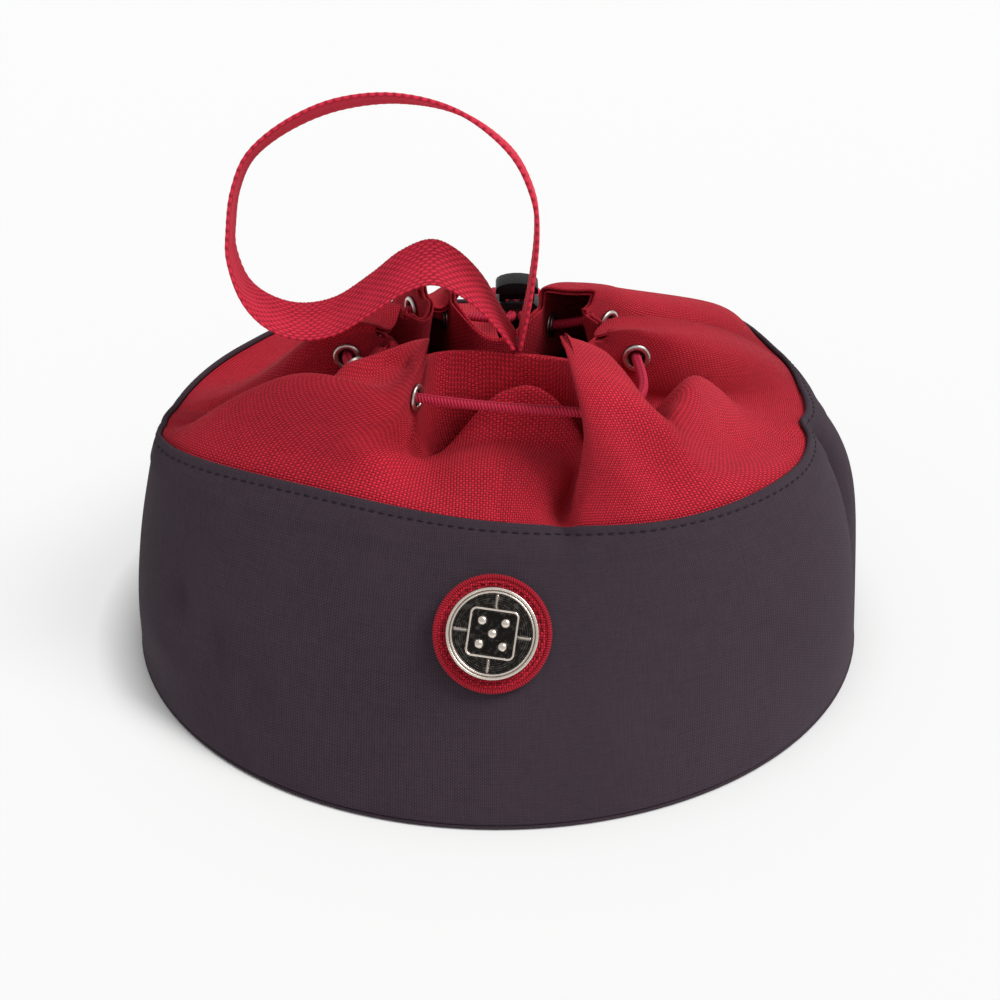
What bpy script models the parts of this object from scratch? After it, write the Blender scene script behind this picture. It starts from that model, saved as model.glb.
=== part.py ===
"""Drawstring dice bag: a round flat-bottomed fabric pouch with a cinched collar.

Metres, +Z up. The origin is the centre of the flat base, and the badge faces -Y.
Lengths below are in millimetres and are turned into metres where vertices are made.

The fabric is one folded surface. A column is a place around the bag: column 0 is the
centre front, and columns run anticlockwise seen from above. A level is a place up the
bag: whole numbers from BASE to BRIM. Each cloth layer is a patch of that surface,
given its thickness and its depth behind the surface by a Solidify modifier.
"""
import math

import bmesh
import bpy
from mathutils import Matrix, Vector

MM = 0.001

# Fabric surface
STATIONS = 12
COLUMNS_PER_STATION = 10
COLUMNS = STATIONS * COLUMNS_PER_STATION
BASE_RADIUS = 115.0
WALL_FOOT_RADIUS = 113.5
WALL_FOOT_Z = 1.5
WAIST = [(0, -91, 44), (57, -76, 44), (99, -42, 42), (107.5, 8, 46), (101, 52, 43), (62, 97, 40),
         (0, 109, 38), (-57, 98, 40), (-98, 55, 42), (-110, 6, 42), (-100, -41, 42), (-55, -72, 43)]
HEM = [(0, -69.5, 69.5), (50, -66.5, 69.5), (87, -36, 70), (95, 9, 69.5), (92, 46, 69), (70, 90, 67),
       (0, 99, 65), (-56, 89, 66), (-85, 52, 68), (-98.5, 10, 70), (-97, -24, 70), (-50, -50.5, 69.5)]

# Eyelets: centre x, y, z and the heading of the drawstring there, in degrees from +X
EYELETS = [(25.5, -43, 91, -8), (36.8, -42, 93, 32), (41, -12, 94, 92), (43, 2, 92, 106),
           (34, 12.5, 94.5, 138), (14, 24, 89.5, 163), (-14, 24, 92, 192), (-27, 22, 95, 205),
           (-37, 13, 92, 250), (-45, -9, 93, 268), (-41.5, -19, 93, 308), (-23.5, -31, 90, 340)]
# Folds at eyelet height, a valley and then a ridge in turn from the centre front: fullness, lean inwards
# in degrees, loft half way to the hem, shift of the fold's middle in x, y, z, and the wall station that
# the fold runs down to
FOLDS = [(40, 0, 0, (0, 0, -4), 0.0), (40, 45, 2, (0, 0, 3), 0.9), (6, 12, -2, (0, 0, -4), 2.4),
         (34, 45, 2, (0, 0, -4), 3.4), (8, 10, -2, (0, 0, -2), 4.1), (44, 45, 0, (0, 0, -4), 4.7),
         (25, 0, 0, (0, 0, -12), 6.0), (42, 35, -8, (0, 0, -4), 7.3), (18, 10, -6, (0, 0, -4), 8.2),
         (46, 40, -8, (0, 0, -4), 9.0), (18, 12, -4, (0, 0, -4), 9.6), (42, 60, 4, (4, -2, 0), 10.4)]
FLANK_HALF_WIDTH, FLANK_SHARE = 6.2, 1 / 6
THROAT_BELOW_EYELET, BRIM_ABOVE_EYELET = 6.0, 11.0
# How strongly the collar leaves the hem and meets the throat, in a valley and on a ridge
HEM_PULL, THROAT_PULL = (20, 50), (20, 60)
# Local shapes: station, level, width in stations and in levels, push outwards, lift
SWELLS = [(0.0, 5.7, 0.4, 0.5, 5, 4), (1.6, 5.3, 0.45, 0.8, 2, 7),
          (2.62, 2.6, 0.2, 1.5, -4, 0), (2.95, 2.2, 0.25, 1.6, 3, 0)]

# Levels up the fabric
BASE, WAIST_LEVEL, TUCK, HEM_LEVEL, THROAT, BRIM = 0, 2, 3.8, 4, 7, 8
FACING_FOOT, LINING_TOP, LINING_FOOT = 6.06, 5.85, 0.25

# Cloth layers: thickness, and depth of the middle of the layer (positive is outside)
CLOTH_GAP = 0.3
WALL_CLOTH = (1.2, 0.6)
COLLAR_CLOTH = (1.0, -0.8)
INNER_CLOTH = (0.6, -2.1)
SEAM_COLUMNS = 0.07

# Base
PANEL_THICKNESS = 1.2
BOARD_RADIUS, BOARD_THICKNESS = 109.0, 1.5
LINING_BASE_RADIUS, LINING_THICKNESS = 111.2, 0.7

# Eyelets and cord
EYELET_HOLE_RADIUS = 2.5
EYELET_BARREL_RADIUS = 2.9
EYELET_FLANGE_RADIUS = 4.25
EYELET_MIDDLE_DEPTH = 1.3
CLOTH_HOLE_RADIUS = 3.35
EYELET_SIDES = 10
CORD_RADIUS = 1.5
CORD_STEP = 8.0
CORD_HEIGHT_IN_LOCK = 88.5
CORD_HALF_SPACING = 1.7

# Cord lock
LOCK_X, LOCK_Y = 6.0, 38.0
LOCK_DEPTH = 10.0
LOCK_TOP, LOCK_SHOULDER, LOCK_BOTTOM = 92.4, 84.5, 78.5
LOCK_WIDTH, LOCK_FOOT_WIDTH = 14.0, 10.4
CORD_HOLE_WIDTH, CORD_HOLE_HEIGHT = 7.2, 3.8
PRESS_TRAVEL = 2.6
STEM_WIDTH, STEM_DEPTH = 10.4, 5.6
STEM_CLEARANCE = 0.4
STEM_BOTTOM = 85.3
STEM_FLOOR = 1.4
BUTTON_BOTTOM, BUTTON_TOP = 95.4, 99.2
BUTTON_WIDTH, BUTTON_DEPTH = 13.6, 9.0
SPRING_BORE_BOTTOM = 79.8
SPRING_RADIUS, SPRING_WIRE_RADIUS, SPRING_TURNS = 2.3, 0.3, 4

# Tails: the free ends of the drawstring, from the lock's back to their knots
LEFT_TAIL = [(4.3, 43.3, 88.5), (4.3, 50, 88.5), (4.3, 57, 88.5), (4.2, 63.5, 86),
             (3.8, 68.5, 80), (3.2, 74, 75),
             (2, 82, 71.5), (0, 92, 70.5), (-1.5, 99, 69.5), (-2.5, 104.5, 64), (-3, 109, 54),
             (-3.5, 113.5, 41), (-4, 116.5, 27), (-4.5, 118.8, 14), (-5.5, 121.5, 6.5),
             (-9, 126.5, 2.4), (-17, 132, 1.7), (-30, 137, 1.7), (-45, 139, 1.7), (-60, 136, 1.7),
             (-72, 128, 1.7), (-84, 121, 1.7), (-96, 119, 1.7)]
RIGHT_TAIL = [(7.7, 43.3, 88.5), (7.7, 50, 88.5), (7.7, 57, 88.5), (7.9, 63.5, 86),
              (8.6, 68.5, 80), (9.6, 74, 75),
              (11, 82, 71.5), (12.5, 92, 70.5), (13.5, 99, 69.5), (14.2, 104.5, 64),
              (14.8, 109, 54), (15.3, 113.2, 41), (15.8, 116, 27), (16.4, 118.2, 14),
              (17.6, 121, 6.5), (21.5, 126, 2.4), (29, 133, 1.7), (40, 142, 1.7), (54, 148, 1.7),
              (69, 147, 1.7), (80, 139, 1.7), (84, 127, 1.7), (92, 117, 1.7)]
KNOT_RADIUS = 3.4

# Webbing loop: centre-line x, y, z and the tilt of its width, in degrees (front edge up)
STRAP_WIDTH, STRAP_THICKNESS = 15.5, 1.5
STRAP_PIVOT = (5.6, -12, 99.4)
STRAP_ROUTE = [(4.7, -12, 99.6, 0), (0.5, -12, 106.5, -6), (-5.2, -12, 115, -22), (-12.4, -12, 121.6, -32),
               (-19.6, -12, 124.2, -36), (-28.3, -13, 121.2, -34), (-37.1, -13.5, 114.8, -28),
               (-47.7, -14, 108.2, -24), (-58.2, -14, 106.6, -20), (-67.4, -13, 109.5, -14),
               (-73.7, -12, 116, -4), (-76.8, -11, 126, 4), (-76.6, -10, 134, 8),
               (-74.6, -9, 145, 14), (-69.5, -8, 155, 20), (-58.3, -7, 163.4, 24),
               (-44.1, -6, 168.9, 26), (-27.3, -6, 170.4, 24), (-10.6, -6, 166.3, 18),
               (3.2, -7, 156, 12), (9.8, -8, 143.6, 8), (11.2, -9, 132, 5), (9.6, -11, 116, 2),
               (6.5, -12, 99.6, 0)]
STRAP_STEP = 6.0
SEWN_END_HEIGHT = 11.0

# Badge on the front wall
BADGE_COLUMN, BADGE_CENTRE_Z = -0.4, 47.6
BADGE_RADIUS, BADGE_RIM = 12.7, 1.2
PATCH_RADIUS, PATCH_THICKNESS, PATCH_GAP = 16.0, 1.1, 0.5
BADGE_THICKNESS, BADGE_FIELD = 2.2, 1.4
STUD_RADIUS, STUD_CLEARANCE = 1.4, 0.4
BACK_PLATE_RADIUS, BACK_PLATE_THICKNESS, BACK_PLATE_GAP = 5.0, 0.5, 0.7
EMBLEM_TURN = math.radians(-8)
PIP_SPACING, PIP_RADIUS = 4.0, 1.3

parts = bpy.data.collections.new("drawstring_dice_bag")
cutters = bpy.data.collections.new("cutters")
eyelet_cutters = bpy.data.collections.new("eyelet_cutters")


# ---------------------------------------------------------------- scene and materials

def clear_scene():
    for old in list(bpy.data.objects):
        bpy.data.objects.remove(old)
    for collection in (parts, cutters, eyelet_cutters):
        bpy.context.scene.collection.children.link(collection)


def make_material(name, colour, roughness, metallic=0.0):
    material = bpy.data.materials.new(name)
    material.use_nodes = True
    shader = material.node_tree.nodes["Principled BSDF"]
    shader.inputs["Base Color"].default_value = (*colour, 1.0)
    shader.inputs["Roughness"].default_value = roughness
    shader.inputs["Metallic"].default_value = metallic
    material.diffuse_color = (*colour, 1.0)
    return material


MATERIALS = {
    "grey_canvas": make_material("grey_canvas", (0.055, 0.043, 0.055), 0.9),
    "red_canvas": make_material("red_canvas", (0.33, 0.012, 0.024), 0.85),
    "black_lining": make_material("black_lining", (0.012, 0.008, 0.008), 0.8),
    "red_webbing": make_material("red_webbing", (0.52, 0.018, 0.045), 0.7),
    "red_cord": make_material("red_cord", (0.45, 0.02, 0.05), 0.6),
    "nickel": make_material("nickel", (0.55, 0.53, 0.5), 0.35, 1.0),
    "black_plastic": make_material("black_plastic", (0.012, 0.012, 0.014), 0.4),
    "steel": make_material("steel", (0.6, 0.6, 0.62), 0.3, 1.0),
    "board": make_material("board", (0.06, 0.06, 0.06), 0.6),
}


def place(name, mesh, material, matrix=None, collection=parts):
    """Make the named object from a mesh, with its material, in a collection."""
    thing = bpy.data.objects.new(name, mesh)
    if matrix is not None:
        thing.matrix_world = matrix
    if material:
        mesh.materials.append(MATERIALS[material])
    collection.objects.link(thing)
    return thing


def as_cutter(thing):
    thing.hide_render = True
    thing.display_type = "WIRE"
    return thing


def smooth(thing, angle=40):
    thing.data.shade_smooth()
    thing.data.set_sharp_from_angle(angle=math.radians(angle))


# ---------------------------------------------------------------- shapes of the fabric

def blend(a, b, share):
    return a + (b - a) * share


def spline_point(points, where):
    """A point on the closed smooth curve through the points; `where` counts the points."""
    count = len(points)
    first = math.floor(where)
    share = where - first
    p0, p1, p2, p3 = (Vector(points[(first + step) % count]) for step in (-1, 0, 1, 2))
    return 0.5 * (2 * p1 + (p2 - p0) * share + (2 * p0 - 5 * p1 + 4 * p2 - p3) * share ** 2
                  + (3 * p1 - p0 - 3 * p2 + p3) * share ** 3)


def hermite(start, start_direction, end, end_direction, share):
    s2, s3 = share * share, share ** 3
    return (start * (2 * s3 - 3 * s2 + 1) + start_direction * (s3 - 2 * s2 + share)
            + end * (3 * s2 - 2 * s3) + end_direction * (s3 - s2))


def open_curve(points, step):
    """Points about `step` apart on a smooth open curve; a fourth value is carried along."""
    route = [Vector(p) for p in points]
    route = [2 * route[0] - route[1]] + route + [2 * route[-1] - route[-2]]
    result = []
    for p0, p1, p2, p3 in zip(route, route[1:], route[2:], route[3:]):
        pieces = max(1, round((p2 - p1).to_3d().length / step))
        for piece in range(pieces):
            share = piece / pieces
            result.append(0.5 * (2 * p1 + (p2 - p0) * share
                                 + (2 * p0 - 5 * p1 + 4 * p2 - p3) * share ** 2
                                 + (3 * p1 - p0 - 3 * p2 + p3) * share ** 3))
    result.append(route[-2].copy())
    return result


def cord_direction(index):
    heading = math.radians(EYELETS[index % len(EYELETS)][3])
    return Vector((math.cos(heading), math.sin(heading), 0))


def flank_direction(index):
    """Level direction in the cloth at an eyelet, from the mouth outwards."""
    along = cord_direction(index)
    return Vector((along.y, -along.x, 0))


def eyelet_centre(index):
    return Vector(EYELETS[index % len(EYELETS)][:3])


def fold_value(station, column):
    """A number from the folds' table, blended softly from one fold to the next."""
    index = math.floor(station)
    share = 0.5 - 0.5 * math.cos(math.pi * (station - index))
    return blend(FOLDS[index % STATIONS][column], FOLDS[(index + 1) % STATIONS][column], share)


def leaning(out, angle):
    """The way up a cloth that leans inwards by an angle."""
    return Vector((0, 0, math.cos(angle))) - out * math.sin(angle)


def throat_frame(station):
    """The folded cloth at eyelet height: a point, the way out, and the lean there."""
    index = math.floor(station - 0.5)
    share = station - 0.5 - index
    side = 1 if index % 2 == 0 else -1
    start, end = eyelet_centre(index), eyelet_centre(index + 1)
    start_out, end_out = flank_direction(index), flank_direction(index + 1)
    start_flank, end_flank = start_out * side, end_out * side
    fold = FOLDS[(index + 1) % STATIONS]
    if share <= FLANK_SHARE:
        base, offset = start, start_flank * FLANK_HALF_WIDTH * share / FLANK_SHARE
        inner_share = 0.0
    elif share >= 1 - FLANK_SHARE:
        base, offset = end, end_flank * FLANK_HALF_WIDTH * (1 - share) / FLANK_SHARE
        inner_share = 1.0
    else:
        inner_share = (share - FLANK_SHARE) / (1 - 2 * FLANK_SHARE)
        base = blend(start, end, inner_share)
        offset = hermite(start + start_flank * FLANK_HALF_WIDTH, start_flank * fold[0],
                         end + end_flank * FLANK_HALF_WIDTH, -end_flank * fold[0], inner_share) - base
        offset.z = 0
    out = blend(start_out, end_out, inner_share).normalized()
    tilt = math.radians(fold_value(station, 1))
    reach = offset.dot(out)
    point = base + offset - out * reach - leaning(out, tilt + math.pi / 2) * reach
    point += Vector(fold[3]) * math.sin(math.pi * inner_share) ** 2
    return point, out, tilt


def collar_point(station, height):
    """A point of the cloth at a height above the eyelets."""
    point, out, tilt = throat_frame(station)
    return point + leaning(out, tilt) * height


def station_below(station):
    """The wall station that a collar station runs down to."""
    return station + spline_point([(fold[4] - index, 0, 0) for index, fold in enumerate(FOLDS)], station).x


def wall_controls(below):
    """The foot, the bow and the hem that shape the wall at a station."""
    angle = 2 * math.pi * below / STATIONS
    foot = Vector((math.sin(angle), -math.cos(angle), 0)) * WALL_FOOT_RADIUS
    foot.z = WALL_FOOT_Z
    waist, hem = spline_point(WAIST, below), spline_point(HEM, below)
    return foot, 2 * waist - 0.5 * (foot + hem), hem


def smooth_point(station, below, level):
    """A point of the surface before its local shapes are added."""
    foot, bow, hem = wall_controls(below)
    if level <= HEM_LEVEL:
        share = level / HEM_LEVEL
        return foot * (1 - share) ** 2 + bow * 2 * share * (1 - share) + hem * share ** 2
    if level >= THROAT:
        return collar_point(station, blend(-THROAT_BELOW_EYELET, BRIM_ABOVE_EYELET, level - THROAT))
    share = (level - HEM_LEVEL) / (THROAT - HEM_LEVEL)
    _, out, tilt = throat_frame(station)
    ridge = 0.5 - 0.5 * math.cos(math.pi * station)
    hem_way = (hem - bow).normalized() * blend(*HEM_PULL, ridge)
    neck_way = leaning(out, tilt) * blend(*THROAT_PULL, ridge)
    point = hermite(hem, hem_way, collar_point(station, -THROAT_BELOW_EYELET), neck_way, share)
    point.z += fold_value(station, 2) * math.sin(math.pi * share)
    return point


def surface_point(column, level):
    station = column / COLUMNS_PER_STATION
    below = station_below(station)
    point = smooth_point(station, below, level)
    out = throat_frame(station)[1]
    for centre, middle, width, height, push, lift in SWELLS:
        around = below if middle < HEM_LEVEL else station
        apart = (around - centre + STATIONS / 2) % STATIONS - STATIONS / 2
        weight = math.exp(-(apart / width) ** 2 - ((level - middle) / height) ** 2)
        point += (out * push + Vector((0, 0, lift))) * weight
    return point


def cloth(name, material, layer, columns, levels, holes=False):
    """One cloth layer: a patch of the surface, thickened."""
    mesh = bpy.data.meshes.new(name)
    skin = bmesh.new()
    rows = [[skin.verts.new(surface_point(column, level) * MM) for column in columns]
            for level in levels]
    for lower, upper in zip(rows, rows[1:]):
        for index in range(len(columns) - 1):
            skin.faces.new((lower[index], lower[index + 1], upper[index + 1], upper[index]))
    skin.normal_update()
    skin.to_mesh(mesh)
    skin.free()
    piece = place(name, mesh, material)
    thickness, depth = layer
    solid = piece.modifiers.new("thickness", "SOLIDIFY")
    solid.thickness = thickness * MM
    solid.offset = 2 * depth / thickness
    if holes:
        cut = piece.modifiers.new("eyelet_holes", "BOOLEAN")
        cut.operand_type = "COLLECTION"
        cut.collection = eyelet_cutters
        cut.solver = "EXACT"
    smooth(piece)
    return piece


def span(first, last):
    """Columns of an open patch, drawn in a little at both ends so that seams don't touch."""
    inner = list(range(first + 1, last))
    return [first + SEAM_COLUMNS] + inner + [last - SEAM_COLUMNS]


def build_fabric():
    wall_levels = [BASE, 1, WAIST_LEVEL, 2.5, 3, TUCK, HEM_LEVEL]
    shoulder_levels = [HEM_LEVEL, 4.5, 5, 5.45, LINING_TOP]
    facing_levels = [FACING_FOOT, 6.35, THROAT, BRIM]
    collar_levels = [TUCK] + shoulder_levels + facing_levels
    quarter, half = COLUMNS // 4, COLUMNS // 2
    cloth("wall_front", "grey_canvas", WALL_CLOTH, span(-quarter, quarter), wall_levels)
    cloth("wall_back", "grey_canvas", WALL_CLOTH, span(quarter, 3 * quarter), wall_levels)
    lining_levels = [LINING_FOOT, WAIST_LEVEL, TUCK] + shoulder_levels
    for side, columns in (("right", span(0, half)), ("left", span(half, COLUMNS))):
        cloth(f"collar_{side}", "red_canvas", COLLAR_CLOTH, columns, collar_levels, holes=True)
        cloth(f"collar_facing_{side}", "red_canvas", INNER_CLOTH, columns, facing_levels, holes=True)
        cloth(f"lining_{side}", "black_lining", INNER_CLOTH, columns, lining_levels)


# ---------------------------------------------------------------- solids

def cylinder(name, radius, depth, material, matrix, collection=parts, sides=72, turn=0.0):
    """A cylinder along its own Z, starting at z = 0."""
    mesh = bpy.data.meshes.new(name)
    shape = bmesh.new()
    bmesh.ops.create_cone(shape, cap_ends=True, segments=sides, radius1=radius * MM,
                          radius2=radius * MM, depth=depth * MM,
                          matrix=Matrix.Translation((0, 0, depth * MM / 2)) @ Matrix.Rotation(turn, 4, "Z"))
    shape.to_mesh(mesh)
    shape.free()
    thing = place(name, mesh, material, matrix, collection)
    smooth(thing)
    return thing


def box(name, low, high, material=None, collection=parts):
    mesh = bpy.data.meshes.new(name)
    shape = bmesh.new()
    size = [(b - a) * MM for a, b in zip(low, high)]
    middle = Vector([(a + b) * MM / 2 for a, b in zip(low, high)])
    bmesh.ops.create_cube(shape, size=1, matrix=Matrix.Diagonal((*size, 1)))
    shape.to_mesh(mesh)
    shape.free()
    return place(name, mesh, material, Matrix.Translation(middle), collection)


def turned(name, profile, sides, material, matrix, collection=parts):
    """A turned piece: a closed profile of (radius, height), run down its outer side."""
    mesh = bpy.data.meshes.new(name)
    count = len(profile)
    edges = [(index, (index + 1) % count) for index in range(count)]
    mesh.from_pydata([(radius * MM, 0, height * MM) for radius, height in profile], edges, [])
    thing = place(name, mesh, material, matrix, collection)
    screw = thing.modifiers.new("turn", "SCREW")
    screw.steps = sides
    screw.render_steps = sides
    screw.use_merge_vertices = True
    screw.merge_threshold = 0.00001
    screw.use_smooth_shade = True
    return thing


def tube(name, points, radius, material, detail=2):
    """A cord or wire: a bevelled poly spline with filled ends."""
    curve = bpy.data.curves.new(name, "CURVE")
    curve.dimensions = "3D"
    curve.bevel_depth = radius * MM
    curve.bevel_resolution = detail
    curve.use_fill_caps = True
    spline = curve.splines.new("POLY")
    spline.points.add(len(points) - 1)
    for spot, point in zip(spline.points, points):
        spot.co = (*(Vector(point) * MM), 1)
    thing = bpy.data.objects.new(name, curve)
    curve.materials.append(MATERIALS[material])
    parts.objects.link(thing)
    return thing


def outline_solid(name, outline, y_low, y_high, material=None, collection=parts):
    """A flat front outline of (x, z) points, extruded from y_low to y_high."""
    curve = bpy.data.curves.new(name, "CURVE")
    curve.dimensions = "2D"
    curve.fill_mode = "BOTH"
    curve.extrude = (y_high - y_low) / 2 * MM
    spline = curve.splines.new("POLY")
    spline.points.add(len(outline) - 1)
    for spot, (x, z) in zip(spline.points, outline):
        spot.co = (x * MM, z * MM, 0, 1)
    spline.use_cyclic_u = True
    drawn = bpy.data.objects.new(name + "_outline", curve)
    cutters.objects.link(drawn)
    drawn.matrix_world = (Matrix.Translation((0, (y_low + y_high) / 2 * MM, 0))
                          @ Matrix.Rotation(math.pi / 2, 4, "X"))
    bpy.context.view_layer.update()
    evaluated = drawn.evaluated_get(bpy.context.evaluated_depsgraph_get())
    mesh = bpy.data.meshes.new_from_object(evaluated)
    shape = bmesh.new()
    shape.from_mesh(mesh)
    bmesh.ops.remove_doubles(shape, verts=shape.verts, dist=0.00001)
    shape.to_mesh(mesh)
    shape.free()
    thing = place(name, mesh, material, drawn.matrix_world.copy(), collection)
    bpy.data.objects.remove(drawn)
    return thing


def combine(thing, other, operation):
    """Add a Boolean of one mesh object with another, which becomes a guide."""
    as_cutter(other)
    step = thing.modifiers.new(operation.lower() + "_" + other.name, "BOOLEAN")
    step.operation = operation
    step.object = other
    step.solver = "EXACT"


def facing_matrix(origin, forward, up=Vector((0, 0, 1))):
    """A place whose own Z looks along `forward`."""
    z_axis = forward.normalized()
    x_axis = up.cross(z_axis).normalized()
    y_axis = z_axis.cross(x_axis)
    return Matrix.Translation(origin * MM) @ Matrix((x_axis, y_axis, z_axis)).transposed().to_4x4()


# ---------------------------------------------------------------- the base

def build_base():
    def level(height):
        return Matrix.Translation((0, 0, height * MM))

    cylinder("base_panel", BASE_RADIUS, PANEL_THICKNESS, "grey_canvas", level(0))
    board_z = PANEL_THICKNESS + CLOTH_GAP
    cylinder("base_board", BOARD_RADIUS, BOARD_THICKNESS, "board", level(board_z), sides=48)
    lining_z = board_z + BOARD_THICKNESS + CLOTH_GAP
    cylinder("lining_base", LINING_BASE_RADIUS, LINING_THICKNESS, "black_lining", level(lining_z))


# ---------------------------------------------------------------- eyelets and drawstring

def outside_direction(index):
    """The cord leaves the bag on this side of the eyelet; a valley follows odd eyelets."""
    return cord_direction(index) * (1 if index % 2 else -1)


def build_eyelet_cutters():
    for index in range(len(EYELETS)):
        reach = 4.0
        matrix = facing_matrix(eyelet_centre(index) - cord_direction(index) * reach, cord_direction(index))
        as_cutter(cylinder(f"eyelet_cutter_{index + 1:02d}", CLOTH_HOLE_RADIUS, 2 * reach, None,
                           matrix, eyelet_cutters, sides=EYELET_SIDES))


def build_eyelets():
    face = CLOTH_GAP + COLLAR_CLOTH[1] + COLLAR_CLOTH[0] / 2
    back = INNER_CLOTH[1] - INNER_CLOTH[0] / 2 - CLOTH_GAP
    washer_back = back - 0.5
    curl_front = washer_back - CLOTH_GAP
    curl_back = curl_front - 0.4
    eyelet_profile = [(EYELET_HOLE_RADIUS + 0.5, face + 0.9), (EYELET_FLANGE_RADIUS - 0.3, face + 0.7),
                      (EYELET_FLANGE_RADIUS, face),
                      (EYELET_BARREL_RADIUS, face), (EYELET_BARREL_RADIUS, curl_front),
                      (EYELET_BARREL_RADIUS + 0.7, curl_front),
                      (EYELET_HOLE_RADIUS + 0.3, curl_back), (EYELET_HOLE_RADIUS, face + 0.4)]
    inner = EYELET_BARREL_RADIUS + CLOTH_GAP
    washer_profile = [(EYELET_FLANGE_RADIUS, back), (EYELET_FLANGE_RADIUS, washer_back),
                      (inner, washer_back), (inner, back)]
    for index in range(len(EYELETS)):
        matrix = facing_matrix(eyelet_centre(index), outside_direction(index))
        turned(f"eyelet_{index + 1:02d}", eyelet_profile, EYELET_SIDES, "nickel", matrix)
        turned(f"eyelet_washer_{index + 1:02d}", washer_profile, EYELET_SIDES, "nickel", matrix)


def eyelet_middle(index):
    """The middle of an eyelet's barrel, a little inside the surface."""
    return eyelet_centre(index) - outside_direction(index) * EYELET_MIDDLE_DEPTH


def drawstring_route():
    """From the lock's right hole, through every eyelet and back to its left hole."""
    right = Vector((LOCK_X + CORD_HALF_SPACING, LOCK_Y, CORD_HEIGHT_IN_LOCK))
    left = Vector((LOCK_X - CORD_HALF_SPACING, LOCK_Y, CORD_HEIGHT_IN_LOCK))
    half_depth = Vector((0, LOCK_DEPTH / 2, 0))
    knots = [(right + half_depth, Vector((0, -1, 0))), (right - half_depth, Vector((0, -1, 0)))]
    for index in range(5, -1, -1):
        knots.append((eyelet_middle(index), -cord_direction(index)))
    for index in range(11, 5, -1):
        knots.append((eyelet_middle(index), -cord_direction(index)))
    knots += [(left - half_depth, Vector((0, 1, 0))), (left + half_depth, Vector((0, 1, 0)))]
    points = []
    for (start, start_way), (end, end_way) in zip(knots, knots[1:]):
        length = (end - start).length
        pieces = max(3, round(length / (CORD_STEP * 0.75)))
        for piece in range(pieces):
            points.append(hermite(start, start_way * length, end, end_way * length, piece / pieces))
    points.append(knots[-1][0])
    return points


def build_cords():
    tube("drawstring", drawstring_route(), CORD_RADIUS, "red_cord")
    for name, route in (("left", LEFT_TAIL), ("right", RIGHT_TAIL)):
        points = open_curve(route, CORD_STEP)
        tube(f"tail_{name}", points, CORD_RADIUS, "red_cord")
        way = (points[-1] - points[-2]).normalized()
        centre = points[-1] + way * (KNOT_RADIUS + CLOTH_GAP)
        centre.z = KNOT_RADIUS + 0.2
        mesh = bpy.data.meshes.new(f"knot_{name}")
        ball = bmesh.new()
        bmesh.ops.create_uvsphere(ball, u_segments=12, v_segments=8, radius=KNOT_RADIUS * MM)
        ball.to_mesh(mesh)
        ball.free()
        smooth(place(f"knot_{name}", mesh, "red_cord", Matrix.Translation(centre * MM)))


# ---------------------------------------------------------------- cord lock

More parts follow.
